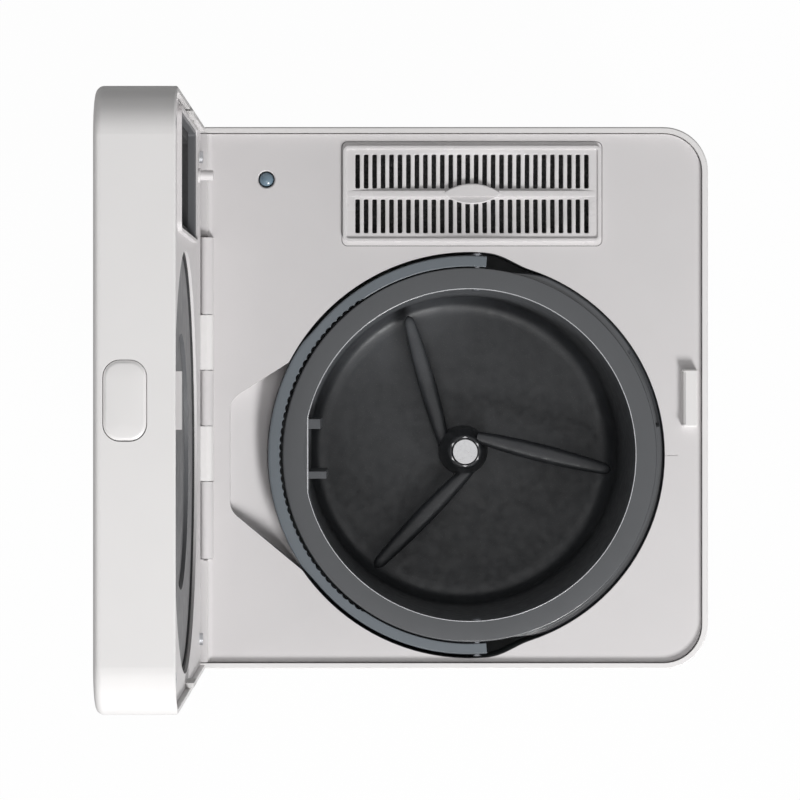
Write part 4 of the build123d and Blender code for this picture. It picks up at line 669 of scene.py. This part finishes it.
def makeStrike(size):
    # a bevelled block carried along X by its section; between its end walls the section is undercut at the
    # back, and each end row is drawn in and down by (distance from the end, inset, drop)
    middle, low, high = place("latch_strike")
    depth, rise = high[1] - low[1], high[2] - low[2]
    cut, cutLow, cutHigh, over = size["cut"], size["cutLow"], size["cutHigh"], size["overhang"]
    front = [(0, 0)] + [(inset, rise - drop) for inset, drop in size["front"]]
    solid = front + [(depth - size["bevel"], rise), (depth, rise - size["endBevelDrop"]), (depth, cutHigh),
                     (depth, cutHigh), (depth, cutLow), (depth, cutLow), (depth, 0)]
    undercut = front + [(over - size["bevel"], rise), (over, rise - size["bevelDrop"]), (over, cutHigh),
                        (cut, cutHigh), (cut, cutLow), (depth, cutLow), (depth, 0)]
    half = (high[0] - low[0]) / 2
    wall = half - size["endWall"]
    rows = [(along - half, inset, drop, solid) for along, inset, drop in size["ends"]]
    rows += [(-wall, 0, 0, solid), (-wall, 0, 0, undercut), (wall, 0, 0, undercut), (wall, 0, 0, solid)]
    rows += [(half - along, inset, drop, solid) for along, inset, drop in size["ends"][::-1]]
    x, inset, drop = (np.array(values)[:, None] for values in list(zip(*rows))[:3])
    section = np.array([row[3] for row in rows], float)
    y = np.clip(section[..., 0], inset, depth - inset)
    z = np.minimum(section[..., 1], rise - drop)
    grid = np.stack([middle[0] + x + 0 * y, low[1] + y, low[2] + z], -1)
    shellPiece("strikeBlock", [(capped(grid), False)], "root",
               surfaces["casing_white"], ["latch_strike"], 20)


recessSizes = {"clearance": 0.2, "wall": 1.2, "proud": 0.9, "nose": 0.5, "radius": 3.2, "lap": 0.1}


def makeRecessFrame(size):
    # dark frame that lines the recess over the filter: a closed section carried round the rounded rectangle,
    # with its nose towards the bin side of the lid
    middle, low, high = place("lid_filter_plate")
    mouth = place("lid_liner")[1][1] + size["proud"]
    seat = place("lid_filter_gasket")[1][1] - size["lap"]
    wall, nose = size["wall"], size["nose"]
    insets = [0, 0, 0.15, nose, wall - 0.3, wall, wall]
    lifts = [seat, mouth + nose, mouth + 0.15, mouth, mouth + 0.25, mouth + nose + 0.2, seat]
    width, length = (high - low)[[0, 2]] - 2 * size["clearance"]
    rings = roundedRings(width, length, size["radius"], insets, lifts)
    grid = np.stack([middle[0] + rings[..., 0], rings[..., 2], middle[2] + rings[..., 1]], -1)
    shellPiece("recessFrame", [(grid, True)], "lid", surfaces["cover_dark"], crease=30)


springSizes = {"plunger_spring": {"name": "plungerCoil", "body": "root", "joint": "plunger_press",
                                  "wire": 0.4, "turns": 7, "travel": 3.5},
               "latch_spring": {"name": "latchCoil", "body": "lid", "joint": "latch_press",
                                "wire": 0.4, "turns": 6, "travel": 3.5}}


def makeCoil(node, size):
    # wire of radius w on a helix (r cos a, r sin a, rise), where rise waits at both ends so that the end
    # turns lie flat
    middle, low, high = place(node)
    wire = size["wire"]
    radius = (high[0] - low[0]) / 2 - wire
    t = np.linspace(0, 1, 36 * size["turns"])[:, None]
    turn = 2 * math.pi * size["turns"] * t
    rise = low[2] + wire + (high[2] - low[2] - 2 * wire) * ((t - 0.08) / 0.84).clip(0, 1)
    around = fullTurn(10)
    grid = aboutAxis(radius + wire * np.cos(around), turn, rise + wire * np.sin(around), middle)
    piece = shellPiece(size["name"], [(capped(grid), False)], size["body"], surfaces["steel"],
                       [node], 40)
    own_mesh(piece)


makeReleaseButton(buttonSizes)
makeLidPeg(pegSizes)
makeStrike(strikeSizes)
makeRecessFrame(recessSizes)
for node, size in springSizes.items():
    makeCoil(node, size)
# the plate over the filter shines more than the cover over the bin
nodes["lid_filter_plate"].data.materials[0] = mouldedPlastic("filterPlate", (0.15, 0.153, 0.158), 0.24, 0.04,
                                                            0.5, 0.003, 0.006, 0.5)
print("lid pieces, strike and springs made")


# filter grille
grilleSizes = {"flange": (58.2, 145.6, 3.1), "flangeDrop": 2.7, "flangeDepth": 2.0, "flangeWall": 3.0,
               "frame": (54.0, 144.8, 3.4), "frameWall": 2.1, "lap": 0.3, "edge": 0.6, "panelDrop": 1.2,
               "panelDepth": 1.8, "slots": 28, "pitch": 4.75, "slot": (19.0, 2.5, 0.6), "rowOffset": 12.55,
               "bevel": 0.3, "margin": 0.8, "bowl": (24.9, 69.9, 3.0), "bar": 3.6, "grip": (11.5, 34.5),
               "gripRise": 0.12, "gripOverlap": 2.2, "pullLine": 1.35, "pullDrop": 1.1}


def bowlDrop(x, y, size):
    # an elliptical paraboloid: depth (1 - (x/a)^2 - (y/b)^2) inside the ellipse, and nothing outside it
    a, b, depth = size["bowl"]
    return depth * np.clip(1 - (x / a) ** 2 - (y / b) ** 2, 0, None)


def cellSteps(length, slot, radius, margin):
    # where the points stand along one side of a slot's cell, and along the slot's own side inside it: the
    # slot's corner point lies on its round corner, and the next one where the corner ends; a long side gets
    # more points
    shares = np.array([0.0, 0.9, 2.2, 4.4, 6.8]) / 9.5 if slot > 4 * radius else np.array([0.0])
    inner = shares * (slot / 2 - radius)
    own = np.concatenate([[radius * (1 - math.sqrt(0.5))], radius + inner])
    own = np.append(own, slot / 2)
    cell = own + margin
    cell[0] = 0
    cell = cell / cell[-1] * length / 2
    sides = ((cell, length), (own, slot))
    return [np.concatenate([side[:-1], whole - side[::-1]]) - whole / 2 for side, whole in sides]


def cellOutlines(size):
    # closed loops of points: the cell's rectangle and the slot inside it, corner to corner in the same order
    length, width, radius = size["slot"]
    longCell, longSlot = cellSteps(length + 2 * size["margin"], length, radius, size["margin"])
    shortCell, shortSlot = cellSteps(size["pitch"], width, radius, (size["pitch"] - width) / 2)

    def loop(across, along, halfAcross, halfAlong):
        bottom = np.stack([across, np.full_like(across, -halfAlong)], -1)[:-1]
        right = np.stack([np.full_like(along, halfAcross), along], -1)[:-1]
        return np.concatenate([bottom, right, -bottom, -right])

    cell = loop(longCell, shortCell, length / 2 + size["margin"], size["pitch"] / 2)
    slot = loop(longSlot, shortSlot, length / 2, width / 2)
    corner = radius * (1 - math.sqrt(0.5))
    tight = (np.abs(np.abs(slot[:, 0]) - length / 2 + corner) < 1e-6) | (
        np.abs(np.abs(slot[:, 1]) - width / 2 + corner) < 1e-6)
    slot[tight] = np.sign(slot[tight]) * (np.array([length, width]) / 2 - corner)
    return cell, slot, longCell, shortCell


def grownOutline(slot, grow):
    # the slot's outline pushed outwards by a fixed distance along its own normals
    ahead = np.roll(slot, -1, 0) - np.roll(slot, 1, 0)
    normal = np.stack([ahead[:, 1], -ahead[:, 0]], -1)
    return slot + grow * normal / np.linalg.norm(normal, axis=1, keepdims=True)


def panelGrids(size, panelTop, panelLow, halfWidth, halfLength):
    # one ring-shaped cell round each slot, then plain strips between and round the cells, and the panel's
    # four sides; the bowl drops the upper side, and the lower side is flat
    cell, slot, longCell, shortCell = cellOutlines(size)
    bevel, offset = size["bevel"], size["rowOffset"]
    rings = [(cell, None), (slot, None), (slot, bevel * 1.6), (grownOutline(slot, bevel * 0.3), bevel * 0.5),
             (grownOutline(slot, bevel), bevel * 0.1), (grownOutline(slot, bevel * 1.5), 0.0), (cell, 0.0)]

    def dropped(x, y, under):
        # a depth under the bowl's surface, or the flat underside where that is None
        z = panelLow + 0 * x if under is None else panelTop - bowlDrop(x, y, size) - under
        return np.stack([x, y, z], -1)

    starts = [(index - (size["slots"] - 1) / 2) * size["pitch"] for index in range(size["slots"])]
    cells = []
    for move in [(side * offset, start) for side in (-1, 1) for start in starts]:
        levels = [dropped(*(outline + move).T, under) for outline, under in rings]
        cells.append((np.stack(levels), False))
    ends = size["slots"] * size["pitch"] / 2
    along = np.unique(np.round(np.concatenate([shortCell + start for start in starts]), 5))
    inner = offset + longCell
    outside = np.array([inner[-1], (inner[-1] + halfWidth) / 2, halfWidth])
    centre = np.array([-inner[0], -inner[0] / 3, inner[0] / 3, inner[0]])
    whole = np.unique(np.round(np.concatenate([-outside, -inner, centre, inner, outside]), 5))
    margin = np.array([ends, (2 * ends + halfLength) / 3, (ends + 2 * halfLength) / 3, halfLength])
    full = np.unique(np.round(np.concatenate([-margin, along, margin]), 5))
    sheets = []
    for across, lengthwise in ((centre, along), (outside, along), (-outside[::-1], along), (whole, margin),
                               (whole, -margin[::-1])):
        x, y = np.meshgrid(across, lengthwise, indexing="ij")
        sheets += [dropped(x, y, None), dropped(x, y, 0.0)]
    edges = ((-halfWidth, full), (halfWidth, full), (whole, -halfLength), (whole, halfLength))
    for across, lengthwise in edges:
        x, y = across + 0 * lengthwise, lengthwise + 0 * across
        sheets.append(np.stack([dropped(x, y, None), dropped(x, y, 0.0)]))
    return cells, sheets


def frameGrids(size, top, low, panelTop, panelLow, halfLength):
    # raised frame and flange round the panel, and across it a bar in two lengths with the grip between them
    edge, wall, skirt = size["edge"], size["frameWall"], top - low
    insets = [0, 0, 0.12 * edge, 0.4 * edge, edge, wall - 0.5, wall - 0.2, wall, wall, wall]
    lifts = [-skirt, -edge, -0.4 * edge, -0.12 * edge, 0, 0, -0.08, -0.3, -1.5, -skirt]
    frameRings = roundedRings(*size["frame"], insets, lifts)
    flangeTop, flangeLow = -size["flangeDrop"], -size["flangeDrop"] - size["flangeDepth"]
    flangeRings = roundedRings(*size["flange"], [0, 0, 0.15, size["flangeWall"], size["flangeWall"]],
                               [flangeLow, flangeTop - 0.15, flangeTop, flangeTop, flangeLow])
    half = size["bar"] / 2
    corners = [(-half, panelLow), (half, panelLow), (half, panelTop), (-half, panelTop)]
    x, z = softOutline(corners, [0.2, 0.2, 0.45, 0.45], 4).T
    bars = []
    for side in (-1, 1):
        ends = side * np.array([[size["grip"][1] / 2 - size["gripOverlap"]], [halfLength]])
        bars.append((capped(np.stack([x + 0 * ends, ends + 0 * x, z + 0 * ends], -1)), False))
    grip = gripRings(size, panelTop + size["gripRise"], panelLow)
    return [(frameRings + [0, 0, top], True), (flangeRings + [0, 0, top], True), (grip, False)] + bars


def makeGrille(size):
    # the slotted panel with its bowl, frame, flange, bar and grip, in one piece
    middle, low, high = place("filter_grille")
    panelTop = high[2] - size["panelDrop"]
    panelLow = panelTop - size["bowl"][2] - size["panelDepth"]
    halfWidth, halfLength = (side / 2 - size["frameWall"] + size["lap"] for side in size["frame"][:2])
    cells, sheets = panelGrids(size, panelTop, panelLow, halfWidth, halfLength)
    shells = cells + frameGrids(size, high[2], low[2], panelTop, panelLow, halfLength)
    centre = [middle[0], middle[1], 0]
    shells = [(grid + centre, roundRows) for grid, roundRows in shells]
    sheets = [sheet + centre for sheet in sheets]
    shellPiece("grillePanel", shells, "filter", surfaces["grille_light"],
               ["filter_grille"], 28, sheets)


def gripRings(size, top, low):
    # a lens between two arcs x = +-w/2 (1 - t^2): each row runs over it from edge to edge, with rounded
    # edges 1 - (1 - d/e)^2; past the pull line it steps down and climbs back to its edge, and the underside
    # closes it
    width, length = size["grip"]
    t = np.linspace(-1, 1, 41)[:, None]
    half = np.maximum(width / 2 * (1 - t ** 2), 0.02)
    edge = np.array([0.0, 0.12, 0.3, 0.6])
    line = -size["pullLine"]
    inner = np.array([-5.0, -4.0, -3.0, -2.2, line - 0.12, line - 0.06, line + 0.02, 0.0, 1.5, 3.0, 4.4])
    room = np.maximum(half - edge[-1], 0)
    share = np.minimum(half / (2 * edge[-1]), 1)
    x = np.concatenate([-half + edge * share, np.clip(inner, -room, room), half - edge[::-1] * share], 1)
    rounding = 0.6 * (1 - ((half - np.abs(x)) / edge[-1]).clip(0, 1)) ** 2
    past = line - 0.06 - x
    ramp = (past > -1e-6) * size["pullDrop"] * (1 - past / (width / 2 + line)).clip(0, 1)
    z = top - rounding - ramp * ((half + line) / 1.2).clip(0, 1)
    under = np.concatenate([half, -half], 1)
    x = np.concatenate([x, under], 1)
    z = np.concatenate([z, low + 0 * under], 1)
    return capped(np.stack([x, t * length / 2 + 0 * x, z], -1))


makeGrille(grilleSizes)
print("grille made")


# stage, light and camera
stageSizes = {"floorHalf": 6.0, "floorDrop": 0.0004, "paper": (0.6, 0.6, 0.6), "glow": 0.98, "ambient": 0.2}


def makeFloor(size):
    # a flat sheet that takes the shadow and shows nearly white to the camera
    half = size["floorHalf"]
    corners = [(x * half, y * half, -size["floorDrop"]) for x, y in ((-1, -1), (1, -1), (1, 1), (-1, 1))]
    mesh = bpy.data.meshes.new("paperFloor")
    mesh.from_pydata(corners, [], [(0, 1, 2, 3)])
    floor = bpy.data.objects.new("paperFloor", mesh)
    bpy.context.scene.collection.objects.link(floor)
    paper = Surface("paperFloor", size["paper"], 0.9)
    share = paper.add("ShaderNodeMath", operation="MULTIPLY")
    paper.join(paper.add("ShaderNodeLightPath").outputs["Is Camera Ray"], share.inputs[0])
    share.inputs[1].default_value = size["glow"]
    mix = paper.add("ShaderNodeMixShader")
    paper.join(share.outputs["Value"], mix.inputs["Fac"])
    paper.join(paper.shader.outputs["BSDF"], mix.inputs[1])
    paper.join(paper.add("ShaderNodeEmission").outputs["Emission"], mix.inputs[2])
    paper.join(mix.outputs["Shader"], paper.tree.nodes["Material Output"].inputs["Surface"])
    mesh.materials.append(paper.material)


def makeWorld(size):
    # white to the camera, in reflections and through the lens, and a soft fill of light for the rest
    world = bpy.data.worlds.new("studio")
    bpy.context.scene.world = world
    world.use_nodes = True
    tree = world.node_tree
    ambient = tree.nodes["Background"]
    ambient.inputs["Strength"].default_value = size["ambient"]
    white = tree.nodes.new("ShaderNodeBackground")
    for background in (ambient, white):
        background.inputs["Color"].default_value = (1, 1, 1, 1)
    path = tree.nodes.new("ShaderNodeLightPath")
    seen = path.outputs["Is Camera Ray"]
    for ray in ("Is Glossy Ray", "Is Transmission Ray"):
        either = tree.nodes.new("ShaderNodeMath")
        either.operation = "MAXIMUM"
        tree.links.new(seen, either.inputs[0])
        tree.links.new(path.outputs[ray], either.inputs[1])
        seen = either.outputs[0]
    mix = tree.nodes.new("ShaderNodeMixShader")
    tree.links.new(seen, mix.inputs["Fac"])
    tree.links.new(ambient.outputs[0], mix.inputs[1])
    tree.links.new(white.outputs[0], mix.inputs[2])
    tree.links.new(mix.outputs[0], tree.nodes["World Output"].inputs["Surface"])


lampSizes = {"keyLight": {"direction": (-0.7, -0.38, 0.6), "distance": 2.6, "side": 0.7, "strength": 0.9},
             "edgeLight": {"direction": (-0.46, -0.05, 0.88), "distance": 2.6, "side": 0.5, "strength": 0.1},
             "backLight": {"direction": (-0.1, 0.7, 0.9), "distance": 2.8, "side": 1.4, "strength": 0.14}}
lampAim = (0, 0, 0.3)


def makeLamp(name, size):
    # a square softbox of power pi^2 * strength * distance^2, so that a white face turned to it gets strength
    lamp = bpy.data.lights.new(name, "AREA")
    lamp.shape = "SQUARE"
    lamp.size = size["side"]
    lamp.energy = math.pi ** 2 * size["strength"] * size["distance"] ** 2
    piece = bpy.data.objects.new(name, lamp)
    way = np.array(size["direction"], float) / np.linalg.norm(size["direction"])
    piece.location = np.array(lampAim) + way * size["distance"]
    piece.rotation_euler = Vector(way).to_track_quat("Z", "Y").to_euler()
    bpy.context.scene.collection.objects.link(piece)


cameraSizes = {"standoff": 1.86, "rimHeight": 0.3, "spot": (0.0083, 0.0268), "lens": 149.5, "sensor": 36,
               "shift": (0.033, -0.021), "clip": (0.05, 50)}


def makeCamera(size):
    # straight above the deck, with the front of the casing to the right
    camera = bpy.data.cameras.new("topCamera")
    camera.lens = size["lens"]
    camera.sensor_width = size["sensor"]
    camera.shift_x, camera.shift_y = size["shift"]
    camera.clip_start, camera.clip_end = size["clip"]
    piece = bpy.data.objects.new("topCamera", camera)
    piece.location = (*size["spot"], size["rimHeight"] + size["standoff"])
    piece.rotation_euler = (0, 0, -math.pi / 2)
    bpy.context.scene.collection.objects.link(piece)
    bpy.context.scene.camera = piece


makeFloor(stageSizes)
makeWorld(stageSizes)
for name, size in lampSizes.items():
    makeLamp(name, size)
makeCamera(cameraSizes)
bpy.context.scene.view_settings.view_transform = "Standard"
print("stage set")
